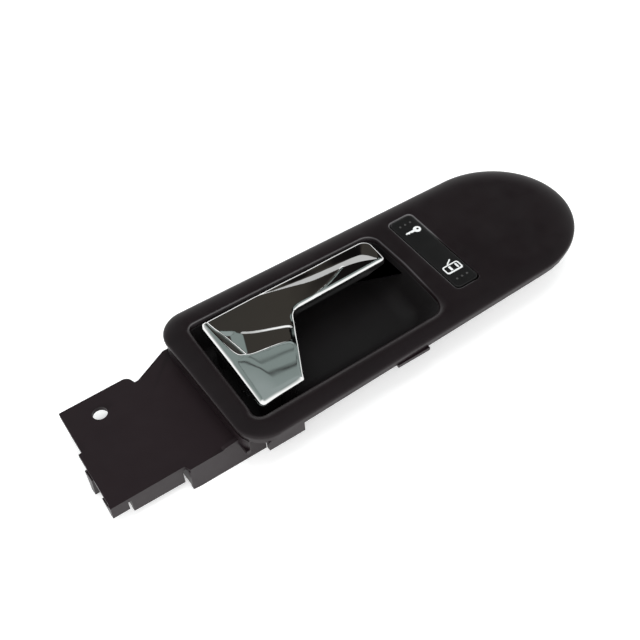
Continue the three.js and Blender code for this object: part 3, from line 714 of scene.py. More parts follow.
def trim_plate():
    shell = Shell()
    outer = np.array(tongue(1.3))
    recess = np.array(resampled(rounded(RECESS), 0.9))
    switch = np.array(rocker_outline(*SWITCH_GAP))

    def lip(points):
        gap, place = distance_to(points, recess)
        soft = softness(recess[np.minimum(place.astype(int), len(recess) - 1)])
        width = CRISP_LIP[0] + soft * (SOFT_LIP[0] - CRISP_LIP[0])
        height = CRISP_LIP[1] + soft * (SOFT_LIP[1] - CRISP_LIP[1])
        return quarter_drop(gap, width, height)

    def face(points):
        edge = quarter_drop(distance_to(points, outer)[0], ROLL_WIDTH, PLATE_RISE)
        slot = quarter_drop(distance_to(points, switch)[0], *SWITCH_LIP)
        return PLATE_RISE - edge - lip(points) - slot

    def loop_at(points):
        return shell.ring([(x, y, z) for (x, y), z in zip(points, face(points))])

    turns = [math.radians(a) for a in (9, 18, 27, 36, 45, 54, 63, 72, 81, 90)]
    extra = [inset_points(outer, ROLL_WIDTH * (1 - math.cos(a))) for a in turns]
    soft = softness(recess)
    width = CRISP_LIP[0] + soft * (SOFT_LIP[0] - CRISP_LIP[0])
    extra += [inset_points(recess, -width * (1 - math.cos(a))) for a in turns[1::2] + turns[-1:]]
    extra += [inset_points(switch, -SWITCH_LIP[0] * (1 - math.cos(a))) for a in turns[1::2] + turns[-1:]]
    field = grid(PLATE_LEFT, END_START + END_REACH, -PLATE_LEFT_HALF, PLATE_LEFT_HALF, 1.5)
    clear = distance_to(field, outer)[0] > ROLL_WIDTH
    clear &= distance_to(field, recess)[0] > 1.2
    clear &= distance_to(field, switch)[0] > 1.2
    extra.append(field[clear])
    points = np.concatenate(extra)
    keep = inside(points, outer) & ~inside(points, recess) & ~inside(points, switch)
    for line in (outer, recess, switch):
        keep &= distance_to(points, line)[0] > 0.02
    rim = [loop_at(line) for line in (outer, recess, switch)]
    shell.fill(rim, points[keep], face)

    wall = [shell.ring(line, PLATE_UNDER) for line in (outer, recess, switch)]
    for low, high in zip(wall, rim):
        shell.bridge(low, high)
    profile = [
        (BOSS_RADIUS + 0.25, PLATE_UNDER), (BOSS_RADIUS, PLATE_UNDER - 0.3),
        (BOSS_RADIUS, BOSS_UNDER + 0.15), (BOSS_RADIUS - 0.15, BOSS_UNDER),
        (BOSS_BORE, BOSS_UNDER), (BOSS_BORE, 0.1),
    ]
    bosses = [post(shell, x, y, profile, 0.2) for x, y in PLATE_SCREWS]
    shell.fill(wall + bosses)

    # Painted highlight: pale lines along the switch opening's lip, mostly on its left and towards its upper
    # end, and along the recess lip's far side and round-end side, standing in for the light these edges
    # catch.
    def painted_highlight_share(places):
        flat = places[:, :2]
        x, y = flat[:, 0], flat[:, 1]
        slot_gap, lip_gap = distance_to(flat, switch)[0], distance_to(flat, recess)[0]
        slot_highlight_share = np.maximum(smooth(ROCKER[0] + 3 - x, 0, 2), smooth(y, 2, 14))
        lip_highlight_share = np.maximum(smooth(y, 20, 26), 0.6 * smooth(x, 8, 9) * smooth(y, -20, -4))
        slot = np.exp(-((slot_gap - 0.12) / 0.22) ** 2) * slot_highlight_share
        far = np.exp(-((lip_gap - 0.2) / 0.2) ** 2) * lip_highlight_share
        return np.where(places[:, 2] > 0.9, np.maximum(0.8 * slot, 0.5 * far), 0.0)

    make("trim_plate", shell, plate_black, "carrier", ["face_plate"], 40, painted_highlight_share=painted_highlight_share)


# ---------------------------------------------------------------- finger bowl

FLOOR = -17.0
BOWL_WALL = 1.8
SLAB_TOP = PLATE_UNDER - 0.3
FLANGE_REACH, FLANGE_UNDER = 3.0, SLAB_TOP - 1.3
# Each side of the trough: how far its foot stands in from its top edge, and the radius at its foot.
SIDES = {"near": (11.6, 7.0), "right": (4.4, 8.0), "far": (1.9, 4.0), "left": (2.0, 3.0)}
CORNER_TOP, CORNER_GAIN = 3.0, 1.5    # least corner radius at the top, and its gain on the way down
WIDE_CORNER, WIDE_RADIUS = 30, 20.0   # a corner rounder than the first has the second all the way down
ARC_STEPS, SIDE_STEPS = 10, 24        # of a ring, along each corner and each side
HINGE = (-70.0, -3.5)
BARREL_RADIUS, BARREL_HALF, LUG_GAP, LUG_THICK = 4.0, 13.5, 0.5, 4.0
BUSH_RADIUS, PIN_RADIUS = 2.7, 1.5
WINDOW = (-73.1, -56.0, 3.4)      # opening in the floor for the crank: its ends in x and its half width
COLLAR = (1.2, 2.6)               # thickness and depth of the collar under it
BUMPER = (-62.0, -17.0, 2.6, -4.0)


def side_profile(inset, radius, depth, steps=14):
    """A sloped wall and the round at its foot, as (inset, depth) from the top edge down to the floor."""
    lean = math.atan2(inset, depth)
    turn = math.pi / 2 - lean
    back = radius * math.tan(turn / 2)
    length = math.hypot(inset, depth) - back
    points = [(length * k / 6 * math.sin(lean), length * k / 6 * math.cos(lean)) for k in range(7)]
    foot = points[-1]
    centre = (foot[0] + radius * math.cos(lean), foot[1] - radius * math.sin(lean))
    for k in range(1, steps + 1):
        a = lean + turn * k / steps
        points.append((centre[0] - radius * math.cos(a), centre[1] + radius * math.sin(a)))
    return points


def meeting(one, other):
    """Where two lines meet, each given as a point, a direction and more."""
    p, d = one[:2]
    q, e = other[:2]
    t = (q - p).cross(e) / d.cross(e) if abs(d.cross(e)) > 1e-6 else 0
    return p + d * t


def trough_rings(shell, grow, top):
    """Rings of the trough from its top edge to its floor; grow moves it outwards and down by a wall."""
    sides = [SIDES[name] for name in ("near", "right", "right", "far", "left")]
    profiles = [side_profile(inset, radius + grow, top - FLOOR + grow) for inset, radius in sides]
    corners = grown(RECESS, grow)
    count = len(corners)
    levels = len(profiles[0])
    loops = []
    for k in range(levels):
        lines = []
        for i, profile in enumerate(profiles):
            inset, drop = profile[k]
            a = Vector(corners[i][:2])
            along = (Vector(corners[(i + 1) % count][:2]) - a).normalized()
            lines.append((a + Vector((-along.y, along.x)) * inset, along, drop))
        least = CORNER_TOP + CORNER_GAIN * k / (levels - 1)
        meets = [meeting(lines[i - 1], lines[i]) for i in range(count)]
        sizes = [max(corner[2], least) if corner[2] < WIDE_CORNER else WIDE_RADIUS for corner in corners]
        arcs = [corner_arc(meets[i - 1], meets[i], meets[(i + 1) % count], sizes[i]) for i in range(count)]
        loop = []
        for i, (turn, place) in enumerate(arcs):
            before, after = lines[i - 1][2], lines[i][2]
            for j in range(ARC_STEPS + 1):
                share = j / ARC_STEPS
                bend = place(turn * share)
                loop.append((bend.x, bend.y, top - (before + (after - before) * share)))
            start, stop = place(turn), arcs[(i + 1) % count][1](0.0)
            for j in range(1, SIDE_STEPS):
                point = start.lerp(stop, j / SIDE_STEPS)
                loop.append((point.x, point.y, top - after))
        loops.append(shell.ring(loop))
    return shell.rings(loops)


def lug_outline():
    x, z = HINGE
    points = [Vector((x - BARREL_RADIUS, FLOOR - 0.9)), Vector((x + BARREL_RADIUS, FLOOR - 0.9))]
    points += ellipse_arc(x, z, BARREL_RADIUS, BARREL_RADIUS, 0, math.pi, 28)
    return points


def upright(shell):
    """Turns a prism drawn in x, z and raised along its z into one that runs along y."""
    return shell.turned(lambda x, y, z: (x, z, y))


def finger_bowl():
    shell = Shell()
    inner = trough_rings(shell, 0.0, SLAB_TOP)
    outer = trough_rings(shell, BOWL_WALL, SLAB_TOP)
    window = rectangle(WINDOW[0], WINDOW[1], -WINDOW[2], WINDOW[2], 0.8)
    collar = grown(window, COLLAR[0])
    hole_top = shell.ring(rounded(window, math.pi / 12), FLOOR)
    hole_low = shell.ring(rounded(window, math.pi / 12), FLOOR - BOWL_WALL - COLLAR[1])
    collar_low = shell.ring(rounded(collar, math.pi / 12), FLOOR - BOWL_WALL - COLLAR[1])
    collar_top = shell.ring(rounded(collar, math.pi / 12), FLOOR - BOWL_WALL)
    shell.fill([inner[-1], hole_top])
    shell.fill([outer[-1], collar_top])
    shell.fill([collar_low, hole_low])
    shell.bridge(collar_low, collar_top)
    shell.bridge(hole_low, hole_top)
    shell.bridge(outer[0], inner[0])
    edge = resampled(rounded(grown(RECESS, FLANGE_REACH)), 2.0)
    hole = resampled(rounded(grown(RECESS, 0.4)), 2.0)
    flange = prism([edge, hole], FLANGE_UNDER, SLAB_TOP)
    shell.add(flange)
    for side in (-1, 1):
        start = side * (BARREL_HALF + LUG_GAP)
        end = side * (BARREL_HALF + LUG_GAP + LUG_THICK)
        bore = circle(HINGE[0], HINGE[1], BUSH_RADIUS + 0.02, 36)
        shell.add(upright(prism([lug_outline(), bore], min(start, end), max(start, end))))
        middle = (start + end) / 2
        shell.add(gusset(HINGE[0] + BARREL_RADIUS - 0.1, 6.0, FLOOR - 0.9, -8.0, middle - 0.7, middle + 0.7))
    x, y, radius, seat = BUMPER
    shell.add(lathe([
        (radius + 1.6, FLOOR - 0.5), (radius + 1.1, FLOOR + 0.6), (radius + 0.6, FLOOR + 2.5),
        (radius + 0.5, seat - 0.3), (radius + 0.2, seat),
    ]).moved(x, y, 0))
    make("bowl_moulding", shell, bowl_black, "carrier", ["finger_bowl"], 35, 0.15, 1)


def gusset(x, reach, low, high, y0, y1):
    """A three-cornered rib leaning against an upright."""
    corners = [Vector((x, low)), Vector((x + reach, low)), Vector((x + 0.6, high)), Vector((x, high))]
    return upright(prism([corners], y0, y1))


# ---------------------------------------------------------------- lever

LEVER = [
    (-77.5, -23.6, 2.4), (-57.1, -22.8, 0.8), (-41.7, 8.1, 6),
    (4.6, 8.2, 1.4), (5.6, 23.1, 4.5), (-76.2, 24.2, 2),
]
# Width and drop of the rounded edge along each side of the outline, from the paddle's near side on.
LEVER_LIPS = [(3.0, 1.5), (1.0, 2.2), (1.5, 2.7), (1.0, 1.5), (1.2, 0.85), (3.0, 1.9)]
LEVER_BOTTOM = -0.4
LEVER_TOP = 4.55
LEVER_POSTS = ((-61, -10), (-61, 10))
POCKET = [(-74.4, -19.4, 1.5), (-59.6, -19.2, 1.0), (-52.4, -4.2, 1.5), (-52.4, 21, 1.5), (-74.2, 21.4, 1.5)]
CREASE_A = [(-74.5, 23.6), (-74.2, 16.3), (-73.5, 6.3), (-72.8, 2.3), (-71.8, 0.3), (-69.8, -1.0)]
CREASE_B = [(-73.4, 23.6), (-72.5, 17.7), (-71.5, 14.3), (-70.5, 7.7), (-69.6, -1.0)]
CREASE_C = [
    (-72.2, 15.9), (-69.5, 13.7), (-61.5, 8.0), (-53.5, 4.3), (-48.6, 2.0), (-47.5, 0.4),
    (-48.1, -1.6), (-49.8, -5.2), (-51.3, -8.6), (-54.2, -15.0), (-58.0, -23.4),
]
CREASE_D = [
    (-69.8, -1.1), (-66.8, -2.3), (-57.5, -4.0), (-53.2, -5.3), (-51.7, -6.8), (-52.0, -9.2), (-54.6, -15.0),
    (-58.4, -23.4),
]
CREST = [(-51, 23.4), (-37.5, 19.3), (-26.5, 16.0), (-13.5, 14.7), (-5.5, 13.0), (1.3, 9.9)]
CREST_FOOT = [(-51, 23.8), (-37.5, 21.2), (-18.5, 18.9), (-4.2, 17.4), (-0.6, 15.6), (2.0, 10.4)]
ARM_LINE = [
    (-45.2, 3.4), (-44.2, 5.6), (-41.4, 7.3), (-37.4, 8.3), (-29.4, 9.4), (-21.4, 11.4), (-12.5, 15.0),
]


def smooth_line(points, per_span=8):
    """A polyline rounded by a Catmull-Rom curve."""
    co = np.array(points, float)
    padded = np.vstack([2 * co[0] - co[1], co, 2 * co[-1] - co[-2]])
    out = []
    for i in range(1, len(padded) - 2):
        p0, p1, p2, p3 = padded[i - 1:i + 3]
        for t in np.linspace(0, 1, per_span, endpoint=False):
            out.append(0.5 * (
                2 * p1 + (p2 - p0) * t + (2 * p0 - 5 * p1 + 4 * p2 - p3) * t**2
                + (3 * p1 - p0 - 3 * p2 + p3) * t**3
            ))
    out.append(co[-1])
    return np.array(out)


def side_of(points, line):
    """Signed distance to an open line: positive on its left."""
    gap, place = distance_to(points, line, False)
    i = np.minimum(place.astype(int), len(line) - 2)
    a, b = line[i], line[i + 1]
    cross = (b[:, 0] - a[:, 0]) * (points[:, 1] - a[:, 1]) - (b[:, 1] - a[:, 1]) * (points[:, 0] - a[:, 0])
    return np.where(cross >= 0, gap, -gap), place


LINE_A = smooth_line(CREASE_A)
LINE_B = smooth_line(CREASE_B)
LINE_C = smooth_line(CREASE_C)
LINE_D = smooth_line(CREASE_D)
LINE_CREST = smooth_line(CREST)
LINE_FOOT = smooth_line(CREST_FOOT)
LINE_ARM = smooth_line(ARM_LINE)
LEVER_EDGE = np.array(resampled(rounded(LEVER, math.pi / 60), 0.5))


def lever_face(points):
    """Height of the lever's chrome face."""
    x, y = points[:, 0], points[:, 1]
    # the paddle and its left flank: one dome that falls to the near side and to the left
    fall = np.clip(-1.0 - y, 0, 23)
    flank = np.clip(-67.5 - x, 0, 10)
    paddle = LEVER_TOP - 0.05 - 0.075 * fall - 0.0020 * fall**2 - 0.0095 * flank**2
    # behind it everything is let in, first to a sliver, then to the window and the arm
    beyond, _ = side_of(points, np.vstack([LINE_A, LINE_D[1:]]))
    right_of_b, _ = side_of(points, LINE_B)
    sliver = 4.2 - 0.05 * np.clip(-70 - x, 0, 5)
    fold = -69.2 + (y + 1.1) * 0.39
    window = 4.15 + 0.012 * (x + 60) - 0.17 * np.clip(fold - x, 0, 5)
    past_c, _ = side_of(points, LINE_C)
    ramp = np.clip((past_c + 1.2) / 1.9, 0, 1)
    arm = 3.76 + 0.012 * (x + 60) + 0.012 * (y - 9)
    inner = window + (arm - window) * (0.7 * ramp + 0.3 * smooth(past_c, -1.2, 0.7))
    inner = sliver + (inner - sliver) * smooth(right_of_b, -0.3, 0.3)
    top = paddle + (inner - paddle) * smooth(beyond, -0.25, 0.35) * (1 - smooth(-y, 3, 9))
    # beyond its crest the arm slopes away, over a strip that widens towards the free end
    past, _ = side_of(points, LINE_CREST)
    to_foot, _ = side_of(points, LINE_FOOT)
    width = np.clip(past - to_foot, 0.3, 5.0)
    slid = np.clip(past, 0, width)
    drop = 0.19 * slid * smooth(slid, -0.4, 0.6)
    return top - drop * smooth(x, -53, -46)


def beads(points):
    """Fine raised lines where the lever's facets meet."""
    total = np.zeros(len(points))
    for line, height, width in (
        (LINE_A, 0.10, 0.32), (LINE_B, 0.10, 0.30), (LINE_D, 0.12, 0.32), (LINE_ARM, 0.12, 0.35),
    ):
        gap, _ = distance_to(points, line, False)
        total += height * np.exp(-((gap / width) ** 2))
    return total


def lip_size(points):
    """Width and drop of the lever's rounded edge near each point."""
    total = np.zeros(len(points))
    size = np.zeros((len(points), 2))
    corners = np.array([corner[:2] for corner in LEVER])
    for start, end, lip in zip(corners, np.roll(corners, -1, 0), LEVER_LIPS):
        weight = 1 / (distance_to(points, np.array([start, end]), False)[0] + 0.3) ** 3
        total += weight
        size += weight[:, None] * np.array(lip)
    size /= total[:, None]
    return size[:, 0], size[:, 1]


def lever_height(points):
    gap = distance_to(points, LEVER_EDGE)[0]
    width, drop = lip_size(points)
    shape = lever_face(points) + beads(points) * smooth(gap, 0.3, 1.2)
    return np.minimum(shape, LEVER_TOP) - quarter_drop(gap, width, drop)


def chrome_lever():
    shell = Shell()
    width, _ = lip_size(LEVER_EDGE)
    turns = [math.radians(a) for a in (10, 20, 30, 40, 50, 60, 70, 80, 90)]
    extra = [inset_points(LEVER_EDGE, width * (1 - math.cos(a))) for a in turns]
    creases = (
        (LINE_A, 0.7), (LINE_B, 0.7), (LINE_C, 1.3), (LINE_D, 0.7), (LINE_CREST, 0.8), (LINE_ARM, 0.8),
    )
    for line, half in creases:
        dense = smooth_line(line, 2)
        direction = np.gradient(dense, axis=0)
        direction /= np.linalg.norm(direction, axis=1)[:, None]
        normal = np.stack([-direction[:, 1], direction[:, 0]], 1)
        extra += [dense + normal * d for d in np.linspace(-half, half, 9)]
    field = grid(-78, 6, -24, 25, 0.62)
    extra.append(field[distance_to(field, LEVER_EDGE)[0] > 1.6])
    points = np.concatenate(extra)
    keep = inside(points, LEVER_EDGE) & (distance_to(points, LEVER_EDGE)[0] > 0.01)
    points = thinned(points[keep], 0.12)
    rim = shell.ring([(x, y, z) for (x, y), z in zip(LEVER_EDGE, lever_height(LEVER_EDGE))])
    shell.fill([rim], points, lever_height)
    foot = shell.ring(LEVER_EDGE, LEVER_BOTTOM + 0.25)
    under = shell.ring(inset_points(LEVER_EDGE, 0.25), LEVER_BOTTOM)
    shell.rings([rim, foot, under])

    pocket = rounded(POCKET, math.pi / 12)
    mouth = shell.ring(pocket, LEVER_BOTTOM)
    ceiling = shell.ring(inset_points(pocket, 0.3), 1.2)
    arm_pocket = rounded(rectangle(-38, 1.5, 11.2, 20.8, 1.2), math.pi / 12)
    arm_mouth = shell.ring(arm_pocket, LEVER_BOTTOM)
    arm_ceiling = shell.ring(inset_points(arm_pocket, 0.3), 1.0)
    shell.fill([under, mouth, arm_mouth])
    shell.bridge(mouth, ceiling)
    shell.bridge(arm_mouth, arm_ceiling)
    shell.fill([arm_ceiling])
    profile = [(2.5, 1.2), (2.5, -0.85), (2.35, -1.0), (1.4, -1.0), (1.4, 2.2)]
    posts = [post(shell, x, y, profile, 2.35) for x, y in LEVER_POSTS]
    shell.fill([ceiling] + posts)
    make("lever_chrome", shell, chrome_plate, "lever", ["chrome_lever"], 50)


def thinned(points, spacing):
    """Points with no two closer than the spacing, as far as a coarse grid can tell."""
    cell = np.round(points / spacing).astype(np.int64)
    _, first = np.unique(cell[:, 0] * 1000003 + cell[:, 1], return_index=True)
    return points[np.sort(first)]


# ---------------------------------------------------------------- rocker

ROCKER_TOP = PLATE_RISE + 0.3
ROCKER_LIP = (0.55, 0.45)        # width and drop of its rounded edge
ROCKER_DISH = 0.28
DOT_REACH, DOT_PITCH = 19.2, 2.6


def rocker_height(points):
    edge = np.array(rocker_outline(0, 0))
    gap = distance_to(points, edge)[0]
    along = (points[:, 1] - ROCKER[1]) / ROCKER_HALF[1]
    dish = ROCKER_DISH * np.clip(1 - along**2, 0, 1)
    return ROCKER_TOP - 0.02 - dish - quarter_drop(gap, *ROCKER_LIP)


def rocker():
    shell = Shell()
    edge = np.array(rocker_outline(0, 0))
    x, y = ROCKER
    turns = [math.radians(a) for a in (18, 36, 54, 72, 90)]
    extra = [inset_points(edge, ROCKER_LIP[0] * (1 - math.cos(a))) for a in turns]
    field = grid(x - 6, x + 6, y - 24, y + 24, 0.8)
    extra.append(field[distance_to(field, edge)[0] > 0.9])
    points = np.concatenate(extra)
    keep = inside(points, edge) & (distance_to(points, edge)[0] > 0.01)
    rim = shell.ring([(a, b, z) for (a, b), z in zip(edge, rocker_height(edge))])
    shell.fill([rim], points[keep], rocker_height)
    low = shell.ring(edge, ROCKER_TOP - 3)
    shell.bridge(low, rim)
    shell.fill([low])
    bore = circle(y, -3.2, 1.05, 24)
    stem = prism([rounded(rectangle(y - 19, y + 19, -4.5, -0.75, 0)), bore], x - 4.2, x + 4.2)
    shell.add(stem.turned(lambda u, v, w: (w, u, v)))
    for side in (-1, 1):
        centre = y + side * 8
        corners = rectangle(x - 2.6, x + 2.6, centre - 2.4, centre + 2.4, 0.4)
        shell.add(prism([rounded(corners, math.pi / 8)], -7.0, -3.9))
    make("rocker_cap", shell, rocker_black, "rocker", ["rocker_button"], 35)
    # The tactile dots, painted grey as a stand-in for the highlights on their domes.
    dots = Shell()
    dome = [(0.5 * math.cos(a), 0.26 * math.sin(a) - 0.02) for a in np.linspace(0, math.pi / 2 - 0.2, 6)]
    for side in (-1, 1):
        for column in (-1, 0, 1):
            px, py = x + column * DOT_PITCH, y + side * DOT_REACH
            base = float(rocker_height(np.array([(px, py)]))[0])
            dots.add(lathe([(0.55, -0.15)] + dome, 20).moved(px, py, base))
    make("rocker_dots", dots, dot_highlight_grey, "rocker", (), 35)


def printed(name, outlines):
    """Thin raised ink on the rocker: each outline is a closed loop with its holes."""
    shell = Shell()
    for loops in outlines:
        tops, lows = [], []
        for loop in loops:
            co = np.array([(p[0], p[1]) for p in loop])
            z = rocker_height(co)
            tops.append(shell.ring([(a, b, c + 0.05) for (a, b), c in zip(co, z)]))
            lows.append(shell.ring([(a, b, c - 0.05) for (a, b), c in zip(co, z)]))
        for low, high in zip(lows, tops):
            shell.bridge(low, high)
        shell.fill(tops)
        shell.fill(lows)
    make(name, shell, ink, "rocker", (), 40)


def stroke(a, b, width):
    """A straight stroke with round ends."""
    start, end = Vector(a), Vector(b)
    angle = math.atan2(end.y - start.y, end.x - start.x)
    half, quarter = width / 2, math.pi / 2
    points = ellipse_arc(start.x, start.y, half, half, angle + quarter, angle + 1.5 * math.pi, 8)
    points += ellipse_arc(end.x, end.y, half, half, angle - quarter, angle + quarter, 8)
    return points


def pictograms():
    x, y = ROCKER
    head = (x + 2.45, y + 14.1)
    blade = [
        Vector(head) + Vector(p) for p in (
            (-1.3, -0.62), (-1.3, 0.62), (-5.2, 0.62), (-5.9, 0.1), (-5.5, -0.35), (-5.0, -0.05),
            (-4.6, -0.62), (-4.1, -0.62), (-3.7, -0.1), (-3.2, -0.62),
        )
    ]
    printed("pictogram_key", [
        [circle(*head, 1.75, 40), circle(head[0] + 0.35, head[1] + 0.1, 0.55, 20)],
        [blade],
    ])
    left, right, low, high = x - 4.1, x + 4.0, y - 15.5, y - 10.7
    body = rounded(rectangle(left, right, low, high, 1.1), math.pi / 12)
    inner = rounded(rectangle(left + 0.6, right - 0.6, low + 0.85, high - 0.6, 0.6), math.pi / 12)
    printed("pictogram_car", [
        [body, inner],
        [rounded(rectangle(x - 1.5, x - 0.45, low + 1.2, high - 1.0, 0.3), math.pi / 8)],
        [rounded(rectangle(x + 1.75, x + 2.6, low + 1.2, high - 1.0, 0.3), math.pi / 8)],
        [stroke((x - 0.6, high + 0.35), (x + 1.8, high + 2.0), 0.6)],
    ])


# ---------------------------------------------------------------- small parts

def cross_screw(head, thick, shank, length):
    """A pan-head screw, point up: its bearing face at z = 0, its head below with a cross recess."""
    shell = Shell()
    sides = 40
    turn = [2 * math.pi * k / sides for k in range(sides)]

    def ring(radius, z):
        return shell.ring([(radius * math.cos(a), radius * math.sin(a)) for a in turn], z)

    arm, half = head * 0.56, head * 0.14
    plus = [
        Vector(p) for p in (
            (arm, -half), (arm, half), (half, half), (half, arm), (-half, arm), (-half, half),
            (-arm, half), (-arm, -half), (-half, -half), (-half, -arm), (half, -arm), (half, -half),
        )
    ]
    crown = ring(head * 0.62, -thick)
    mouth = shell.ring(plus, -thick)
    floor = shell.ring([p * 0.6 for p in plus], -thick + 0.75)
    shell.fill([crown, mouth])
    shell.bridge(mouth, floor)
    shell.fill([floor])
    dome = [(head * (0.62 + 0.38 * math.sin(a)), -thick + thick * 0.62 * (1 - math.cos(a)))
            for a in np.linspace(0.25, math.pi / 2, 7)]
    loops = [crown] + [ring(r, z) for r, z in dome] + [ring(head, -0.12), ring(head - 0.1, 0)]
    loops.append(ring(shank * 0.86, 0))
    pitch = 0.8
    rows = int((length - shank) / pitch * 2)
    core = shank * 0.74
    thread = []
    for j in range(rows):
        radius = shank if j % 2 else core
        thread.append(shell.ring([
            (radius * math.cos(a), radius * math.sin(a), 0.25 + pitch * (j / 2 + k / sides))
            for k, a in enumerate(turn)
        ]))
    shell.rings(loops + [thread[0]])
    for low, high in zip(thread, thread[1:]):
        shell.bridge(low, high)
    neck = ring(core * 0.7, length - shank * 0.4)
    shell.bridge(thread[-1], neck)
    shell.fan(neck, (0, 0, length))
    return shell


def screws():
    kinds = (
        ("plate_screw", 5, 0.9, 1.5, "carrier"), ("switch_screw", 2, 1.0, 1.5, "carrier"),
        ("lever_screw", 2, 1.1, 1.4, "lever"),
    )
    for prefix, count, shank, thick, body in kinds:
        for i in range(1, count + 1):
            node = f"{prefix}_{i}"
            (x, y, z), head, tall = seat(node)
            shell = cross_screw(head, thick, shank, tall - thick).moved(x, y, z + thick)
            make(f"{node}_turned", shell, zinc, body, [node], 30)


def along_y(shell, x, z):
    return shell.turned(lambda a, b, c: (x + a, c, z + b))


def along_x(shell, y, z):
    return shell.turned(lambda a, b, c: (c, y + a, z + b))


def bar(radius, low, high, chamfer=0.25):
    """A round pin with chamfered ends."""
    return lathe([
        (radius - chamfer, low), (radius, low + chamfer), (radius, low + 2 * chamfer),
        (radius, high - 2 * chamfer), (radius, high - chamfer), (radius - chamfer, high),
    ], 40)


def hinge_parts():
    x, z = HINGE
    low, high = node_box("pivot_pin")
    pin = along_y(bar(PIN_RADIUS, low.y, high.y), x, z)
    make("pivot_pin_ground", pin, steel, "carrier", ["pivot_pin"], 30)
    for i in (1, 2):
        low, high = node_box(f"pivot_bush_{i}")
        outer, inner = BUSH_RADIUS - 0.02, PIN_RADIUS + 0.04
        profile = [
            (inner + 0.15, low.y), (outer - 0.15, low.y), (outer, low.y + 0.15), (outer, high.y - 0.15),
            (outer - 0.15, high.y), (inner + 0.15, high.y), (inner, high.y - 0.15), (inner, low.y + 0.15),
        ]
        bush = along_y(lathe_tube(profile, 40), x, z)
        node = f"pivot_bush_{i}"
        make(f"{node}_turned", bush, natural_plastic, "carrier", [node], 30)
    middle, foot, tall = seat("lever_bumper")
    top = 2.1
    stop = lathe([
        (foot - 0.1, 0), (foot, 0.15), (foot - 0.1, tall * 0.3), (foot - 0.35, tall * 0.45),
        (foot - 0.3, tall * 0.6), (top, tall - 0.3), (top - 0.3, tall),
    ], 40).moved(*middle)
    make("lever_bumper_moulded", stop, rubber, "carrier", ["lever_bumper"], 40)
    low, high = node_box("rocker_pin")
    pin = along_x(bar(1.0, low.x, high.x, 0.2), (low.y + high.y) / 2, (low.z + high.z) / 2)
    make("rocker_pin_ground", pin, steel, "carrier", ["rocker_pin"], 30)


def torsion_spring():
    """Turns round the pin, one leg down to the bowl and one out under the lever."""
    start, turns, radius, wire = BARREL_HALF + LUG_GAP + LUG_THICK + 0.5, 3, 2.75, 0.4
    pitch = 2 * wire + 0.15
    x, z = HINGE
    path = [(x - radius, start, z - 9 + k * 1.0) for k in range(9)]
    steps = 32
    for i in range(turns * steps + steps // 4 + 1):
        angle = math.pi - 2 * math.pi * i / steps
        path.append((x + radius * math.cos(angle), start + i / steps * pitch, z + radius * math.sin(angle)))
    last = path[-1]
    path += [(last[0] + k * 0.9, last[1], last[2]) for k in range(1, 11)]
    make("torsion_spring_wound", tube(path, wire, 12), steel, "carrier", ["torsion_spring"], 60)


def coil_springs():
    for name in ("door", "key"):
        node = f"plunger_spring_{name}"
        (x, y, low), _, tall = seat(node)
        wire, radius = 0.14, 1.22
        turns, steps = 2.5, 28
        count = int(turns * steps)
        rise = tall - 2 * wire
        path = []
        for i in range(count + 1):
            angle = 2 * math.pi * i / steps
            ease = smooth(np.array(i / count), 0.0, 1.0)
            path.append((
                x + radius * math.cos(angle), y + radius * math.sin(angle),
                low + wire + rise * float(0.5 * ease + 0.5 * i / count),
            ))
        make(f"{node}_wound", tube(path, wire, 10), steel, "carrier", [node], 60)


def plungers():
    for name in ("door", "key"):
        node = f"plunger_{name}"
        middle, radius, tall = seat(node)
        stem = lathe([
            (radius - 0.75, 0), (radius - 0.6, 0.12), (radius - 0.6, tall - 1.42),
            (radius - 0.12, tall - 1.4), (radius, tall - 1.28), (radius, tall - 0.25),
            (radius - 0.12, tall - 0.08), (radius - 0.35, tall),
        ], 40).moved(*middle)
        make(f"{node}_moulded", stem, natural_plastic, node, [node], 30)


def lamps():
    for name in ("door", "key"):
        node = f"lamp_{name}"
        low, high = node_box(node)
        x, y = (low.x + high.x) / 2, (low.y + high.y) / 2
        base = rounded(rectangle(low.x, high.x, low.y, high.y, 0.25), math.pi / 8)
        shell = prism([base], low.z, low.z + 0.7)
        dome = [(1.1, 0.6), (1.1, 0.8)] + [
            (1.1 * math.cos(a), 0.8 + 0.5 * math.sin(a)) for a in np.linspace(0.2, 1.4, 6)
        ]
        shell.add(lathe(dome, 32).moved(x, y, low.z))
        make(f"{node}_cast", shell, lamp_white, "carrier", [node], 40)


def terminals():
    for i in range(1, 5):
        node = f"terminal_{i}"
        low, high = node_box(node)
        (x, y, _), half, _ = seat(node)
        shell = Shell()
        levels = [(0.45, low.z), (0.9, low.z + 0.9), (1.0, low.z + 1.1), (1.0, high.z - 0.25), (0.8, high.z)]
        loops = []
        for share, z in levels:
            h = half * share
            loops.append(shell.ring(rounded(rectangle(x - h, x + h, y - h, y + h, h * 0.3), math.pi / 6), z))
        shell.rings(loops)
        shell.fill([loops[0]])
        shell.fill([loops[-1]])
        make(f"{node}_formed", shell, brass, "carrier", [node], 40)


# ---------------------------------------------------------------- studio

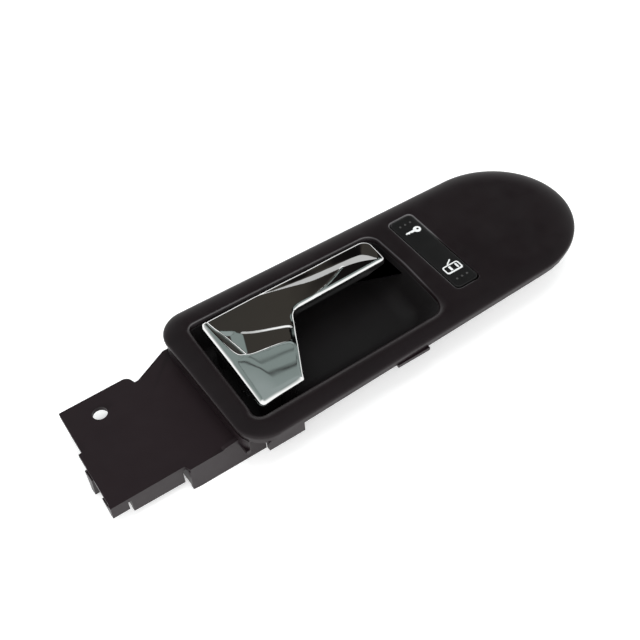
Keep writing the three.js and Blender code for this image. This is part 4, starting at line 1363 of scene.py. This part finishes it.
def make_world():
    """A white sweep low down all round, a dark flag behind the object, and a grey ceiling."""
    world = bpy.data.worlds.new("studio")
    bpy.context.scene.world = world
    world.use_nodes = True
    n = Tree(world.node_tree)
    sky = n.tree.nodes["Background"]
    place = n.node("ShaderNodeTexCoord").outputs["Generated"]

    def math_node(operation, a, b=None):
        node = n.node("ShaderNodeMath", operation=operation)
        for socket, value in zip(node.inputs, (a, b)):
            if value is None:
                continue
            if isinstance(value, bpy.types.NodeSocket):
                n.link(value, socket)
            else:
                socket.default_value = value
        return node.outputs[0]

    def towards(direction):
        """Angle to a direction, in degrees."""
        node = n.node("ShaderNodeVectorMath", operation="DOT_PRODUCT")
        n.link(place, node.inputs[0])
        node.inputs[1].default_value = Vector(direction).normalized()
        return math_node("DEGREES", math_node("ARCCOSINE", node.outputs["Value"]))

    def ramp(value, stops, low, high):
        """A ramp whose stops are in the value's own units, from low to high."""
        scaled = math_node("DIVIDE", math_node("SUBTRACT", value, low), high - low)
        return n.ramp(scaled, [((at - low) / (high - low), tone) for at, tone in stops])

    height = math_node("SUBTRACT", 90.0, towards((0, 0, 1)))
    axes = n.node("ShaderNodeSeparateXYZ")
    n.link(place, axes.inputs[0])
    bearing = math_node("DEGREES", math_node("ARCTAN2", axes.outputs["Y"], axes.outputs["X"]))
    grey, pale = (0.23, 0.275, 0.265), (0.30, 0.345, 0.34)
    ceiling = ramp(height, [
        (0, 1.15), (20, 1.15), (23, 0.62), (29, 0.55), (36, grey), (59.2, grey), (59.6, 0.02), (60.0, grey),
        (62.2, grey), (62.6, 0.03), (63.0, grey), (70, pale), (90, pale),
    ], -90, 90)
    near = ramp(height, [(0, 1.15), (60, 1.15), (80, pale), (90, pale)], -90, 90)
    side = ramp(towards((-0.6, -0.8, 0.0)), [(66, 1.0), (88, 0.0)], 0, 180)
    wide = ramp(bearing, [(26, 0.0), (34, 1.0), (72, 1.0), (80, 0.0)], -180, 180)
    tall = ramp(height, [(29.5, 0.0), (33, 1.0), (53, 1.0), (56, 0.0)], -90, 90)
    tone = ramp(bearing, [
        (52, 0.003), (58, (0.008, 0.007, 0.007)), (61.5, (0.046, 0.041, 0.035)), (70, (0.040, 0.037, 0.033)),
    ], -180, 180)
    flag = math_node("MULTIPLY", wide, tall)
    n.link(n.mix(flag, n.mix(side, ceiling, near), tone), sky.inputs["Color"])
    sky.inputs["Strength"].default_value = 1.0


def make_lights():
    spots = (
        ("overhead", (0, 0, 700), (0, 0, 0), 500, 2.9),
        ("front_left", (-350, -450, 450), (-30, 0, 0), 350, 1.2),
    )
    for name, place, aim, size, power in spots:
        data = bpy.data.lights.new(name, "AREA")
        data.energy = power
        data.size = size * MM
        light = bpy.data.objects.new(name, data)
        light.location = row(place)
        light.rotation_mode = "QUATERNION"
        light.rotation_quaternion = (row(place) - row(aim)).to_track_quat("Z", "Y")
        light.visible_glossy = False
        bpy.context.scene.collection.objects.link(light)


def make_floor():
    """The pale surface that the unit lies on."""
    n = Nodes("floor_white")
    material = n.set(
        Base_Color=n.mix(n.noise(0.02, 3.0), (0.90, 0.90, 0.90), (0.93, 0.93, 0.93)),
        Roughness=0.7, Specular_IOR_Level=0.1, Emission_Strength=0.4,
        Normal=n.bump(n.noise(0.5), 0.01),
    )
    n.shader.inputs["Emission Color"].default_value = (1, 1, 1, 1)
    half, gap = 3.0, 0.0001
    low = cad_box[0].z - gap
    mesh = bpy.data.meshes.new("floor")
    corners = [(-half, -half, low), (half, -half, low), (half, half, low), (-half, half, low)]
    mesh.from_pydata(corners, [], [(0, 1, 2, 3)])
    mesh.materials.append(material)
    floor = bpy.data.objects.new("floor", mesh)
    bpy.context.scene.collection.objects.link(floor)


# ---------------------------------------------------------------- assembly

bpy.context.scene.view_settings.view_transform = "Standard"
make_world()
make_lights()
make_floor()
trim_plate()
finger_bowl()
refined("carrier", carrier_black, "carrier", 0.35, 3)
chrome_lever()
refined("lever_core", core_black, "lever", 0.3, 2)
rocker()
pictograms()
refined("switch_housing", switch_black, "carrier", 0.25, 2)
refined("switch_cover", switch_black, "carrier", 0.25, 2)
refined("circuit_board", green_board, "carrier", 0.08, 1)
hinge_parts()
torsion_spring()
coil_springs()
plungers()
lamps()
terminals()
screws()
